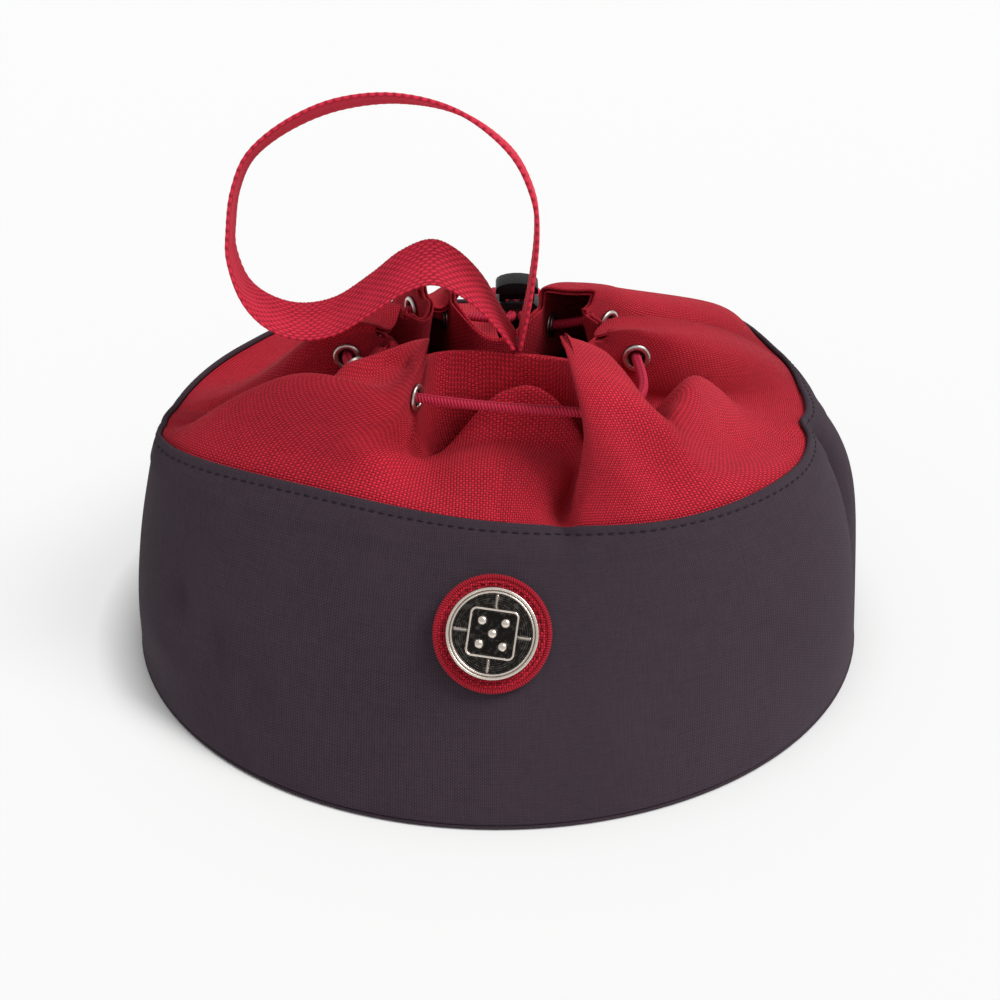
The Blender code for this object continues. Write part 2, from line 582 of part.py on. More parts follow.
def build_lock():
    def x_span(width):
        return LOCK_X - width / 2, LOCK_X + width / 2

    y_low, y_high = LOCK_Y - LOCK_DEPTH / 2, LOCK_Y + LOCK_DEPTH / 2
    left, right = x_span(LOCK_WIDTH)
    foot_left, foot_right = x_span(LOCK_FOOT_WIDTH)
    corner = 1.5
    outline = [(left, LOCK_SHOULDER), (foot_left, LOCK_BOTTOM), (foot_right, LOCK_BOTTOM),
               (right, LOCK_SHOULDER), (right, LOCK_TOP - corner), (right - corner, LOCK_TOP),
               (left + corner, LOCK_TOP), (left, LOCK_TOP - corner)]
    barrel = outline_solid("lock_barrel", outline, y_low, y_high, "black_plastic")

    hole_left, hole_right = x_span(CORD_HOLE_WIDTH)
    hole_low = CORD_HEIGHT_IN_LOCK - CORD_HOLE_HEIGHT / 2
    cord_hole = box("lock_cord_hole", (hole_left, y_low - 5, hole_low),
                    (hole_right, y_high + 5, hole_low + CORD_HOLE_HEIGHT), collection=cutters)
    bore_left, bore_right = x_span(STEM_WIDTH + 2 * STEM_CLEARANCE)
    bore_depth = STEM_DEPTH / 2 + STEM_CLEARANCE
    stem_bore_bottom = STEM_BOTTOM - PRESS_TRAVEL - CLOTH_GAP
    stem_bore = box("lock_stem_bore", (bore_left, LOCK_Y - bore_depth, stem_bore_bottom),
                    (bore_right, LOCK_Y + bore_depth, LOCK_TOP + 5), collection=cutters)
    axis = Matrix.Translation(Vector((LOCK_X, LOCK_Y, SPRING_BORE_BOTTOM)) * MM)
    spring_bore = cylinder("lock_spring_bore", SPRING_RADIUS + 0.8, stem_bore_bottom + 1 - SPRING_BORE_BOTTOM,
                           None, axis, cutters, sides=24)
    for cutter in (cord_hole, stem_bore, spring_bore):
        combine(barrel, cutter, "DIFFERENCE")

    stem_left, stem_right = x_span(STEM_WIDTH)
    plunger = box("lock_plunger", (stem_left, LOCK_Y - STEM_DEPTH / 2, STEM_BOTTOM),
                  (stem_right, LOCK_Y + STEM_DEPTH / 2, BUTTON_BOTTOM + 1), "black_plastic")
    button_left, button_right = x_span(BUTTON_WIDTH)
    ear = 1.3
    dome = [(LOCK_X + BUTTON_WIDTH / 2 * math.cos(math.radians(angle)),
             BUTTON_BOTTOM + ear + (BUTTON_TOP - BUTTON_BOTTOM - ear) * math.sin(math.radians(angle)))
            for angle in range(0, 181, 20)]
    button = outline_solid("lock_button_form", dome + [(button_left, BUTTON_BOTTOM), (button_right, BUTTON_BOTTOM)],
                           LOCK_Y - BUTTON_DEPTH / 2, LOCK_Y + BUTTON_DEPTH / 2, collection=cutters)
    combine(plunger, button, "UNION")
    slot_low = STEM_BOTTOM + STEM_FLOOR
    slot_height = 2 * (CORD_RADIUS + CLOTH_GAP) + PRESS_TRAVEL
    slot = box("lock_plunger_slot", (hole_left, y_low - 5, slot_low),
               (hole_right, y_high + 5, slot_low + slot_height), collection=cutters)
    combine(plunger, slot, "DIFFERENCE")

    spring_low = SPRING_BORE_BOTTOM + CLOTH_GAP + SPRING_WIRE_RADIUS
    spring_high = STEM_BOTTOM - CLOTH_GAP - SPRING_WIRE_RADIUS
    steps = SPRING_TURNS * 10
    coil = [(LOCK_X + SPRING_RADIUS * math.cos(2 * math.pi * step / 10),
             LOCK_Y + SPRING_RADIUS * math.sin(2 * math.pi * step / 10),
             blend(spring_low, spring_high, step / steps)) for step in range(steps + 1)]
    tube("lock_spring", coil, SPRING_WIRE_RADIUS, "steel", detail=1)


# ---------------------------------------------------------------- webbing loop

def build_strap():
    """A ribbon swept round the loop, with both ends side by side at the sewn root."""
    mesh = bpy.data.meshes.new("strap")
    ribbon = bmesh.new()
    pivot = Vector(STRAP_PIVOT)
    rows = []
    for station in open_curve(STRAP_ROUTE, STRAP_STEP):
        tilt = math.radians(station[3])
        half_width = Vector((0, -math.cos(tilt), math.sin(tilt))) * STRAP_WIDTH / 2
        rows.append([ribbon.verts.new((station.to_3d() + half_width * side - pivot) * MM)
                     for side in (1, 0, -1)])
    for lower, upper in zip(rows, rows[1:]):
        for index in range(2):
            ribbon.faces.new((lower[index], lower[index + 1], upper[index + 1], upper[index]))
    ribbon.to_mesh(mesh)
    ribbon.free()
    strap = place("strap", mesh, "red_webbing", Matrix.Translation(pivot * MM))
    solid = strap.modifiers.new("thickness", "SOLIDIFY")
    solid.thickness = STRAP_THICKNESS * MM
    solid.offset = 0
    smooth(strap)
    sewn_top = STRAP_PIVOT[2] - 1.4
    box("strap_sewn_ends", (STRAP_PIVOT[0] - STRAP_THICKNESS, STRAP_PIVOT[1] - 1, sewn_top - SEWN_END_HEIGHT),
        (STRAP_PIVOT[0] + STRAP_THICKNESS, STRAP_PIVOT[1] + 7, sewn_top), "red_webbing")


# ---------------------------------------------------------------- badge

def build_badge():
    """A round metal badge on a cloth patch, riveted through the front wall to a plate."""
    level = WAIST_LEVEL
    for _ in range(20):
        level += (BADGE_CENTRE_Z - surface_point(BADGE_COLUMN, level).z) / 18
    centre = surface_point(BADGE_COLUMN, level)
    along = (surface_point(BADGE_COLUMN, level + 0.2) - surface_point(BADGE_COLUMN, level - 0.2)).normalized()
    outward = Vector((1, 0, 0)).cross(along)
    base = facing_matrix(centre, outward, along)
    wall_face = WALL_CLOTH[1] + WALL_CLOTH[0] / 2

    def raised(height, turn=0.0):
        return base @ Matrix.Translation((0, 0, height * MM)) @ Matrix.Rotation(turn, 4, "Z")

    patch_low = wall_face + PATCH_GAP
    patch = cylinder("badge_patch", PATCH_RADIUS, PATCH_THICKNESS, "red_canvas", raised(patch_low), sides=48)
    badge_low = patch_low + PATCH_THICKNESS + CLOTH_GAP
    rim_top = badge_low + BADGE_THICKNESS
    field_top = badge_low + BADGE_FIELD
    plate_top = WALL_CLOTH[1] - WALL_CLOTH[0] / 2 - BACK_PLATE_GAP
    inner = BADGE_RADIUS - BADGE_RIM
    stud_foot = plate_top - BACK_PLATE_THICKNESS
    profile = [(inner, rim_top), (BADGE_RADIUS - 0.3, rim_top), (BADGE_RADIUS, rim_top - 0.3),
               (BADGE_RADIUS, badge_low), (STUD_RADIUS, badge_low), (STUD_RADIUS, stud_foot),
               (0, stud_foot), (0, field_top), (inner, field_top)]
    badge = turned_on_axis("badge", profile, 40, "nickel", base)
    corner = PIP_SPACING + PIP_RADIUS + 1.2
    for index, (x, y) in enumerate([(0, 0), (1, 1), (1, -1), (-1, 1), (-1, -1)]):
        spot = Matrix.Translation((x * PIP_SPACING * MM, y * PIP_SPACING * MM, 0))
        pip = cylinder(f"badge_pip_{index + 1}", PIP_RADIUS, 1.0, None,
                       raised(field_top - 0.5, EMBLEM_TURN) @ spot, cutters, sides=12)
        combine(badge, pip, "UNION")
    frame_outline = box("badge_square", (-corner, -corner, 0), (corner, corner, 1.0), collection=cutters)
    frame_hole = box("badge_square_hole", (-corner + 1, -corner + 1, -1), (corner - 1, corner - 1, 2),
                     collection=cutters)
    for thing in (frame_outline, frame_hole):
        thing.matrix_world = raised(field_top - 0.5, EMBLEM_TURN) @ thing.matrix_world
    combine(frame_outline, frame_hole, "DIFFERENCE")
    combine(badge, frame_outline, "UNION")

    reach = BACK_PLATE_RADIUS
    wall_hole = cylinder("badge_stud_hole", STUD_RADIUS + STUD_CLEARANCE, 2 * reach, None,
                         raised(-reach), cutters, sides=16)
    combine(patch, wall_hole, "DIFFERENCE")
    combine(bpy.data.objects["wall_front"], wall_hole, "DIFFERENCE")
    plate = cylinder("badge_back_plate", BACK_PLATE_RADIUS, BACK_PLATE_THICKNESS, "steel",
                     raised(stud_foot), sides=24)
    combine(plate, wall_hole, "DIFFERENCE")


def turned_on_axis(name, profile, sides, material, matrix):
    """A turned piece whose open profile starts and ends on its axis."""
    mesh = bpy.data.meshes.new(name)
    edges = [(index, index + 1) for index in range(len(profile) - 1)] + [(len(profile) - 1, 0)]
    mesh.from_pydata([(radius * MM, 0, height * MM) for radius, height in profile],
                     [edge for edge in edges if profile[edge[0]][0] or profile[edge[1]][0]], [])
    thing = place(name, mesh, material, matrix)
    screw = thing.modifiers.new("turn", "SCREW")
    screw.steps = sides
    screw.render_steps = sides
    screw.use_merge_vertices = True
    screw.merge_threshold = 0.00001
    return thing


clear_scene()
build_eyelet_cutters()
build_fabric()
build_base()
build_eyelets()
build_cords()
build_lock()
build_strap()
build_badge()
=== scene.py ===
"""Looks of the drawstring dice bag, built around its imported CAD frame.

The cloth is one folded sheet. A column is a place around the bag: column 0 is the centre
front, and columns run anticlockwise seen from above. A level is a place up the bag, from
BASE at the foot to BRIM at the top edge. Each cloth layer is a ring of that sheet, with
its own thickness and depth. Lengths are millimetres until meshes are made.
"""
import itertools
import math

import bpy
import numpy as np
from mathutils import Matrix, Vector


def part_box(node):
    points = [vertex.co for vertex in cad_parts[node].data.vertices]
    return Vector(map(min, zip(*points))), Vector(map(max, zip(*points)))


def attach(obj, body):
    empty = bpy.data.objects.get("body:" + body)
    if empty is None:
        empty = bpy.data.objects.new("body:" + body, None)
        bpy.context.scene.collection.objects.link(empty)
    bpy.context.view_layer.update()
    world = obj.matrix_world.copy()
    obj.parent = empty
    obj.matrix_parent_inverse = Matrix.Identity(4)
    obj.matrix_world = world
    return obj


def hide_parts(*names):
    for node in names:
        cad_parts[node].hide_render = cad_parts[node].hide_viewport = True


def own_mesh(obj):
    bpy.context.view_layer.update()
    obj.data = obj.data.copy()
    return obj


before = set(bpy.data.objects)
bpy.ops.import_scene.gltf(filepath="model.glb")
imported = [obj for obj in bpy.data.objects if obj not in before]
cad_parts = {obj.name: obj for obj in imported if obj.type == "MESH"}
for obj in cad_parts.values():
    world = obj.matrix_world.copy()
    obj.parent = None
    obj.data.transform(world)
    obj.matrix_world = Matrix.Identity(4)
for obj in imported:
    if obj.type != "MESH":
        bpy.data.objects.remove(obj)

MM = 0.001
TAU = 2 * math.pi
UP = np.array((0.0, 0.0, 1.0))
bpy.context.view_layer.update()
scene = bpy.context.scene

# Sheet grid
STATIONS = 12
COLUMNS = 288
FINE_COLUMNS = 2 * COLUMNS
BASE_RADIUS = 115.0
SHEET_GIRTH = TAU * BASE_RADIUS
BASE, LINING_FOOT, TUCK, HEM_LEVEL, FACING_FOOT, THROAT, BRIM = 0.0, 0.25, 3.8, 4.0, 5.9, 7.0, 8.0
WALL_ROWS, COLLAR_ROWS, THROAT_ROWS = 26, 26, 9

# Wall: the foot, the waist and the hem, at twelve stations around the bag
WALL_FOOT_RADIUS, WALL_FOOT_Z = 113.5, 1.5
WAIST = [
    (0, -91, 44), (57, -76, 44), (99, -42, 42), (107.5, 8, 46), (101, 52, 43), (62, 97, 40), (0, 109, 38),
    (-57, 98, 40), (-98, 55, 42), (-110, 6, 42), (-100, -41, 42), (-55, -72, 43)]
HEM = [
    (0, -69.5, 69.5), (50, -66.5, 69.5), (87, -36, 70), (95, 9, 69.5), (92, 46, 69), (70, 90, 67),
    (0, 99, 65), (-56, 89, 66), (-85, 52, 68), (-98.5, 10, 70), (-97, -24, 70), (-50, -50.5, 69.5)]

# Eyelets: centre x, y, z and the heading of the drawstring there, in degrees from +X
EYELETS = [
    (25.5, -43, 91, -8), (36.8, -42, 93, 32), (41, -12, 94, 92), (43, 2, 92, 106), (34, 12.5, 94.5, 138),
    (14, 24, 89.5, 163), (-14, 24, 92, 192), (-27, 22, 95, 205), (-37, 13, 92, 250), (-45, -9, 93, 268),
    (-41.5, -19, 93, 308), (-23.5, -31, 90, 340)]
# Folds at eyelet height, a valley and then a ridge in turn from the centre front: fullness, lean
# inwards and further curl above the eyelets in degrees, loft half way to the hem, shift of the
# fold's middle in x, y, z, and the wall station that the fold runs down to
FOLDS = [(50, 0, 0, 0, (0, 0, -4), 0.0), (42, 80, 14, 2, (-12, 0, 3), 0.8),
         (18, 15, 10, -3, (0, 0, -4), 2.8), (34, 85, 30, 1, (-4, 0, -6), 3.6),
         (8, 10, 0, -2, (0, 0, -2), 4.1), (44, 70, 20, -2, (0, 0, -4), 4.6),
         (25, 0, 0, 0, (0, 0, -12), 6.0), (42, 75, 20, -13, (0, 0, -12), 7.4),
         (18, 10, 0, -12, (0, 0, -5), 8.2), (46, 85, 30, -12, (0, 0, -9), 9.0),
         (18, 15, 0, -4, (0, 0, -4), 9.6), (42, 80, 30, 4, (6, -2, 0), 10.3)]
FLANK_SHARE = 1 / 6
FLANK_HALF_WIDTH = 6.2
THROAT_BELOW_EYELET, BRIM_ABOVE_EYELET = 6.0, 11.0
# How strongly the collar leaves the hem and meets the throat, in a valley and on a ridge
HEM_PULL, THROAT_PULL = (20, 50), (20, 60)
# Local shapes: station, level, width in stations and in levels, push outwards, lift
SWELLS = [
    (0.05, 6.3, 0.2, 0.34, 4, 17), (0.02, 5.3, 0.36, 0.6, 3, 7), (0.42, 5.0, 0.14, 0.9, -8, -8),
    (-0.27, 6.3, 0.15, 0.42, -3, -8), (-0.26, 6.7, 0.14, 0.3, -10, -14), (11.48, 5.5, 0.13, 0.8, 4, 3),
    (11.72, 5.4, 0.13, 0.7, -4, -4), (0.0, 6.85, 0.3, 0.25, -3, -8), (1.15, 5.1, 0.1, 0.8, -3, -3),
    (1.5, 6.3, 0.16, 0.35, 2, 9), (1.66, 5.9, 0.22, 0.4, 3, 19), (1.9, 5.6, 0.24, 0.5, 3, 15),
    (10.93, 6.75, 0.24, 0.5, -2, -10), (10.97, 7.3, 0.2, 0.25, 0, -4), (10.74, 7.95, 0.2, 0.5, 3, -12),
    (10.72, 5.6, 0.12, 0.9, -3, -3), (9.3, 5.4, 0.12, 0.8, -3, -3), (9.85, 5.3, 0.1, 0.9, -3, -3),
    (10.3, 4.9, 0.14, 0.8, 2, 2), (2.62, 2.6, 0.12, 1.5, -6, 0), (2.95, 2.2, 0.25, 1.6, 4, 0),
    (10.1, 2.3, 0.55, 0.8, -3, 0), (9.9, 0.75, 0.4, 0.5, 1.2, 0), (10.2, 1.5, 0.1, 0.35, -2.6, 0),
    (10.5, 1.15, 0.1, 0.35, -2.6, 0), (10.75, 0.8, 0.1, 0.3, -2, 0), (10.1, 1.0, 0.25, 0.35, 2, 0)]

# Cloth layers: thickness, and depth of the middle of the layer (positive is outside)
WALL_CLOTH, COLLAR_CLOTH, INNER_CLOTH = (1.2, 0.6), (1.0, -0.8), (0.6, -2.1)
CLOTH_GAP = 0.3

# The hem's folded edge: how far it reaches down and what it adds, and its line of stitches
HEM_FOLD, HEM_FOLD_EXTRA, STITCH_LINE = 10.0, 0.45, 2.2
# A seam's dip, as a share of the cloth's thickness, at the seam and beside it
SEAM_DIPS = ((-1, 0.25), (0, 0.45), (1, 0.25))

# Metal and cord
EYELET_HOLE_RADIUS, EYELET_BARREL_RADIUS, EYELET_FLANGE_RADIUS = 2.5, 2.9, 4.25
EYELET_MIDDLE_DEPTH = 1.3
CLOTH_HOLE_RADIUS = 3.2
CORD_RADIUS, CORD_STEP, BRAID_DEPTH, BRAID_PITCH = 1.5, 0.2, 0.18, 1.0
KNOT_HEIGHT, KNOT_SIZE, KNOT_CORD_RADIUS = 3.5, 1.55, 1.4
CORD_HEIGHT_IN_LOCK, CORD_HALF_SPACING = 88.5, 1.7

# Cord lock
LOCK_X, LOCK_Y, LOCK_DEPTH = 6.0, 38.0, 10.0
SPRING_TURNS, SPRING_WIRE_RADIUS = 4, 0.3

# Tails: the free ends of the drawstring, from the lock's back to their knots
LEFT_TAIL = [
    (4.3, 43.3, 88.5), (4.3, 50, 88.5), (4.3, 57, 88.5), (4.2, 63.5, 86), (3.8, 68.5, 80), (3.2, 74, 75),
    (2, 82, 71.5), (0, 92, 70.5), (-1.5, 99, 69.5), (-2.5, 104.5, 64), (-3, 109, 54), (-3.5, 113.5, 41),
    (-4, 116.5, 27), (-4.5, 118.8, 14), (-5.5, 121.5, 6.5), (-9, 126.5, 2.4), (-17, 132, 1.7),
    (-30, 137, 1.7), (-45, 139, 1.7), (-60, 136, 1.7), (-72, 128, 1.7), (-84, 121, 1.7), (-96, 119, 1.7)]
RIGHT_TAIL = [
    (7.7, 43.3, 88.5), (7.7, 50, 88.5), (7.7, 57, 88.5), (7.9, 63.5, 86), (8.6, 68.5, 80), (9.6, 74, 75),
    (11, 82, 71.5), (12.5, 92, 70.5), (13.5, 99, 69.5), (14.2, 104.5, 64), (14.8, 109, 54),
    (15.3, 113.2, 41), (15.8, 116, 27), (16.4, 118.2, 14), (17.6, 121, 6.5), (21.5, 126, 2.4),
    (29, 133, 1.7), (40, 142, 1.7), (54, 148, 1.7), (69, 147, 1.7), (80, 139, 1.7), (84, 127, 1.7),
    (92, 117, 1.7)]

# Webbing loop: centre-line x, y, z and the tilt of its width, in degrees (front edge up)
STRAP_WIDTH, STRAP_THICKNESS = 15.5, 1.5
STRAP_STEP, STRAP_POINTS, FLOAT_LENGTH, LANE_WIDTH, FLOAT_RISE = 0.55, 47, 2.4, 1.05, 0.22
LANE_START, EDGE_WOBBLE, EDGE_WOBBLE_PITCH, BACK_THREAD_SHIFT = -100.0, 0.12, 1.2, 40.0
STRAP_ROUTE = [
    (4.7, -12, 99.6, 0), (0.5, -12, 106.5, -6), (-5.2, -12, 115, -22), (-12.4, -12, 121.6, -32),
    (-19.6, -12, 124.2, -36), (-28.3, -13, 121.2, -34), (-37.1, -13.5, 114.8, -28),
    (-47.7, -14, 108.2, -24), (-58.2, -14, 106.6, -20), (-67.4, -13, 109.5, -14), (-73.7, -12, 116, -4),
    (-76.8, -11, 126, 4), (-76.6, -10, 134, 8), (-74.6, -9, 145, 14), (-69.5, -8, 155, 20),
    (-58.3, -7, 163.4, 24), (-44.1, -6, 168.9, 26), (-27.3, -6, 170.4, 24), (-10.6, -6, 166.3, 18),
    (3.2, -7, 156, 12), (9.8, -8, 143.6, 8), (11.2, -9, 132, 5), (9.6, -11, 116, 2), (6.5, -12, 99.6, 0)]

# Badge on the front wall: a metal disc with a generic die face, on a round cloth patch
BADGE_COLUMN, BADGE_CENTRE_Z = -1, 46.8
BADGE_RADIUS, MEDAL_LIFT, PATCH_RADIUS, PATCH_GAP = 12.7, 1.4, 16.0, 0.5
DIE_HALF, DIE_CORNER, DIE_TURN, PIP_SPACING, PIP_RADIUS = 4.9, 1.5, -8, 3.2, 1.35
PATCH_STITCH_RADIUS, PATCH_STITCH_LIFT, PATCH_WRAPS = 13.75, 0.95, 150

# Studio, in metres: the floor is lit like the bag near it, and glows evenly further out
CAMERA_PLACE, CAMERA_TILT, CAMERA_LENS = (0.0006, -0.498, 0.3151), 61, 64.6
SKY, SUN, SUN_WIDTH, SUN_WAY = 0.55, 2.05, 30, (-0.75, 0.15, -1.0)
FLOOR_HALF, FLOOR_GLOW_REACH, FLOOR_GLOW = 40.0, (0.115, 0.13), 0.67


# ------------ camera, light and floor

def make_camera():
    data = bpy.data.cameras.new("camera")
    data.lens, data.sensor_width, data.clip_start = CAMERA_LENS, 36, 0.01
    camera = bpy.data.objects.new("camera", data)
    camera.location = CAMERA_PLACE
    camera.rotation_euler = (math.radians(CAMERA_TILT), 0, 0)
    scene.collection.objects.link(camera)
    scene.camera = camera


def make_lights():
    world = bpy.data.worlds.new("studio")
    world.use_nodes = True
    background = world.node_tree.nodes["Background"]
    background.inputs["Color"].default_value = (1, 1, 1, 1)
    background.inputs["Strength"].default_value = SKY
    scene.world = world
    scene.view_settings.view_transform = "Standard"
    data = bpy.data.lights.new("key", "SUN")
    data.energy, data.angle = SUN, math.radians(SUN_WIDTH)
    lamp = bpy.data.objects.new("key", data)
    lamp.rotation_euler = Vector(SUN_WAY).to_track_quat("-Z", "Y").to_euler()
    scene.collection.objects.link(lamp)


def make_floor():
    mesh = bpy.data.meshes.new("floor")
    corners = [(x * FLOOR_HALF, y * FLOOR_HALF, 0) for x, y in ((-1, -1), (1, -1), (1, 1), (-1, 1))]
    mesh.from_pydata(corners, [], [(0, 1, 2, 3)])
    floor = bpy.data.objects.new("floor", mesh)
    scene.collection.objects.link(floor)
    nodes = Nodes("studio_floor", Roughness=0.6, Specular_IOR_Level=0.2)
    reach = nodes.add("VectorMath")
    reach.operation = "LENGTH"
    nodes.link(nodes.position(), reach.inputs[0])
    away = nodes.stretch(reach.outputs["Value"], *FLOOR_GLOW_REACH)
    nodes.colour(away, (0.95, 0.95, 0.945), (0.27, 0.27, 0.27))
    nodes.link((0.99, 1.0, 0.99, 1.0), nodes.shader.inputs["Emission Color"])
    nodes.link(nodes.times(away, FLOOR_GLOW), nodes.shader.inputs["Emission Strength"])
    mesh.materials.append(nodes.material)


# ------------ materials

class Nodes:
    """A new material with its Principled shader, and short ways to add nodes."""

    def __init__(self, name, **sockets):
        self.material = bpy.data.materials.new(name)
        self.material.use_nodes = True
        self.tree = self.material.node_tree
        self.shader = self.tree.nodes["Principled BSDF"]
        for socket, value in sockets.items():
            self.shader.inputs[socket.replace("_", " ")].default_value = value

    def add(self, kind):
        return self.tree.nodes.new("ShaderNode" + kind)

    def link(self, source, socket):
        if hasattr(source, "links"):
            self.tree.links.new(source, socket)
        else:
            socket.default_value = source

    def math(self, operation, *values):
        node = self.add("Math")
        node.operation = operation
        for value, socket in zip(values, node.inputs):
            self.link(value, socket)
        return node.outputs[0]

    def plus(self, first, second):
        return self.math("ADD", first, second)

    def times(self, first, second):
        return self.math("MULTIPLY", first, second)

    def thread_map(self):
        """The piece's own thread map: millimetres across and along its threads."""
        node = self.add("UVMap")
        node.uv_map = "thread"
        split = self.add("SeparateXYZ")
        self.link(node.outputs[0], split.inputs[0])
        return split.outputs[0], split.outputs[1]

    def relief(self):
        """How far each point of the piece is raised, as its mesh says."""
        node = self.add("Attribute")
        node.attribute_name = "relief"
        return node.outputs["Fac"]

    def position(self):
        return self.add("TexCoord").outputs["Object"]

    def noise(self, scale, detail=3.0, vector=None):
        node = self.add("TexNoise")
        self.link(vector or self.position(), node.inputs["Vector"])
        node.inputs["Scale"].default_value = scale
        node.inputs["Detail"].default_value = detail
        return node.outputs[0]

    def thread_noise(self, u, v, u_scale, v_scale, detail=3.0):
        """Noise on the thread map, with its own scale along each thread direction."""
        node = self.add("CombineXYZ")
        self.link(self.times(u, u_scale), node.inputs[0])
        self.link(self.times(v, v_scale), node.inputs[1])
        return self.noise(1.0, detail, node.outputs[0])

    def stretch(self, value, low, high, to_low=0.0, to_high=1.0):
        node = self.add("MapRange")
        self.link(value, node.inputs[0])
        for socket, number in zip(list(node.inputs)[1:5], (low, high, to_low, to_high)):
            socket.default_value = number
        return node.outputs[0]

    def colour(self, share, low, high):
        node = self.add("Mix")
        node.data_type = "RGBA"
        self.link(share, node.inputs["Factor"])
        self.link((*low, 1), node.inputs[6])
        self.link((*high, 1), node.inputs[7])
        self.link(node.outputs[2], self.shader.inputs["Base Color"])

    def uneven_gloss(self, scale, low, high):
        self.link(self.stretch(self.noise(scale), 0.3, 0.7, low, high), self.shader.inputs["Roughness"])

    def bump(self, height, distance):
        node = self.add("Bump")
        node.inputs["Strength"].default_value = 1.0
        node.inputs["Distance"].default_value = distance
        self.link(height, node.inputs["Height"])
        self.link(node.outputs[0], self.shader.inputs["Normal"])


def woven_material(name, dark, light, pitch, relief, roughness, mottle):
    """Plain-weave cloth, whose threads follow the piece's own thread map."""
    nodes = Nodes(name, Roughness=roughness, Sheen_Weight=0.03, Sheen_Roughness=0.5,
                  Specular_IOR_Level=0.12)
    u, v = nodes.thread_map()
    wander = nodes.times(nodes.noise(350.0, 2.0), pitch[0] * 0.5)
    across = nodes.math("SINE", nodes.times(nodes.plus(u, wander), math.pi / pitch[0]))
    along = nodes.math("SINE", nodes.times(nodes.plus(v, wander), math.pi / pitch[1]))
    over = nodes.math("GREATER_THAN", nodes.times(across, along), 0.0)
    across, along = nodes.math("ABSOLUTE", across), nodes.math("ABSOLUTE", along)
    warp = nodes.times(across, nodes.math("POWER", along, 0.4))
    weft = nodes.times(nodes.math("POWER", across, 0.4), along)
    weft = nodes.times(weft, nodes.math("SUBTRACT", 1.0, over))
    height = nodes.plus(nodes.times(warp, over), weft)
    # Painted shade of the weave: each thread is lighter on its crown and darker towards its edges, and weft
    # crossings get half the warp's tone
    shade = nodes.math("SUBTRACT", height, nodes.times(weft, 0.5))
    slubs = nodes.plus(nodes.thread_noise(u, v, 0.16, 1.5), nodes.thread_noise(u, v, 1.5, 0.16))
    fibre = nodes.noise(2600.0, 2.0)
    clouds = nodes.plus(nodes.noise(38.0, 4.0), fibre)
    tone = nodes.plus(nodes.times(shade, 0.75), nodes.times(slubs, 0.5 * mottle))
    tone = nodes.plus(tone, nodes.times(clouds, 0.35 * mottle))
    nodes.colour(nodes.stretch(tone, 0.25, 0.7 + 0.85 * mottle), dark, light)
    nodes.bump(nodes.plus(height, nodes.times(fibre, 0.3)), relief)
    return nodes.material


def cord_material(name, dark, light):
    """Thread, braid or webbing, toned by its mesh's relief: a painted highlight where it is raised, painted
    shade between the strands.
    """
    nodes = Nodes(name, Roughness=0.7, Sheen_Weight=0.03, Sheen_Roughness=0.4, Specular_IOR_Level=0.15)
    fibre = nodes.thread_noise(*nodes.thread_map(), 6.0, 6.0, 2.0)
    # The relief term is painted light: raised strands lighter, the hollows between them darker
    tone = nodes.plus(nodes.times(nodes.relief(), 0.8), nodes.times(fibre, 0.4))
    nodes.colour(nodes.stretch(tone, 0.2, 0.95), dark, light)
    nodes.bump(fibre, 0.00008)
    return nodes.material


def metal_material(name, dark, light, roughness):
    """Antique plated metal: bright where it is raised and rubbed, dark in the recesses."""
    nodes = Nodes(name, Roughness=roughness, Metallic=1.0)
    blotch = nodes.math("SUBTRACT", nodes.noise(900.0, 4.0), 0.5)
    tone = nodes.plus(nodes.relief(), nodes.times(blotch, 0.35))
    nodes.colour(nodes.stretch(tone, 0.0, 1.0), dark, light)
    nodes.uneven_gloss(2500.0, roughness - 0.08, roughness + 0.14)
    nodes.bump(nodes.noise(4000.0, 2.0), 0.00003)
    return nodes.material


def plastic_material(name, colour, roughness):
    nodes = Nodes(name, Roughness=roughness, Specular_IOR_Level=0.18)
    nodes.colour(nodes.noise(500.0), colour, [1.6 * part for part in colour])
    nodes.uneven_gloss(1500.0, roughness - 0.06, roughness + 0.1)
    nodes.bump(nodes.noise(5000.0, 2.0), 0.00004)
    return nodes.material


WEAVES = [("grey_canvas", (0.018, 0.011, 0.016), (0.068, 0.047, 0.062), (0.42, 0.42), 0.00008, 0.9, 0.8),
          ("red_canvas", (0.14, 0.005, 0.010), (0.95, 0.035, 0.070), (0.66, 0.76), 0.0003, 0.85, 0.45),
          ("black_lining", (0.004, 0.003, 0.003), (0.02, 0.012, 0.012), (0.3, 0.3), 0.00004, 0.9, 0.5)]
CORDS = [("red_webbing", (0.26, 0.008, 0.020), (0.88, 0.038, 0.085)),
         ("red_cord", (0.06, 0.002, 0.006), (0.72, 0.034, 0.085)),
         ("thread_grey", (0.006, 0.004, 0.005), (0.018, 0.013, 0.016)),
         ("patch_thread", (0.08, 0.002, 0.006), (0.42, 0.014, 0.03)),
         ("thread_red", (0.09, 0.002, 0.006), (0.26, 0.008, 0.016))]
METALS = [("nickel", (0.16, 0.14, 0.12), (0.72, 0.69, 0.64), 0.3),
          ("antique_silver", (0.02, 0.018, 0.017), (0.84, 0.75, 0.67), 0.24),
          ("steel", (0.3, 0.3, 0.31), (0.66, 0.66, 0.68), 0.3)]
PLASTICS = [("black_plastic", (0.004, 0.004, 0.005), 0.42), ("board", (0.05, 0.05, 0.05), 0.6)]
MATERIALS = {values[0]: make(*values)
             for make, table in ((woven_material, WEAVES), (cord_material, CORDS),
                                 (metal_material, METALS), (plastic_material, PLASTICS))
             for values in table}


# ------------ shapes of the sheet

def blend(a, b, share):
    return a + (b - a) * share


def unit(vectors):
    return vectors / np.linalg.norm(vectors, axis=-1, keepdims=True)


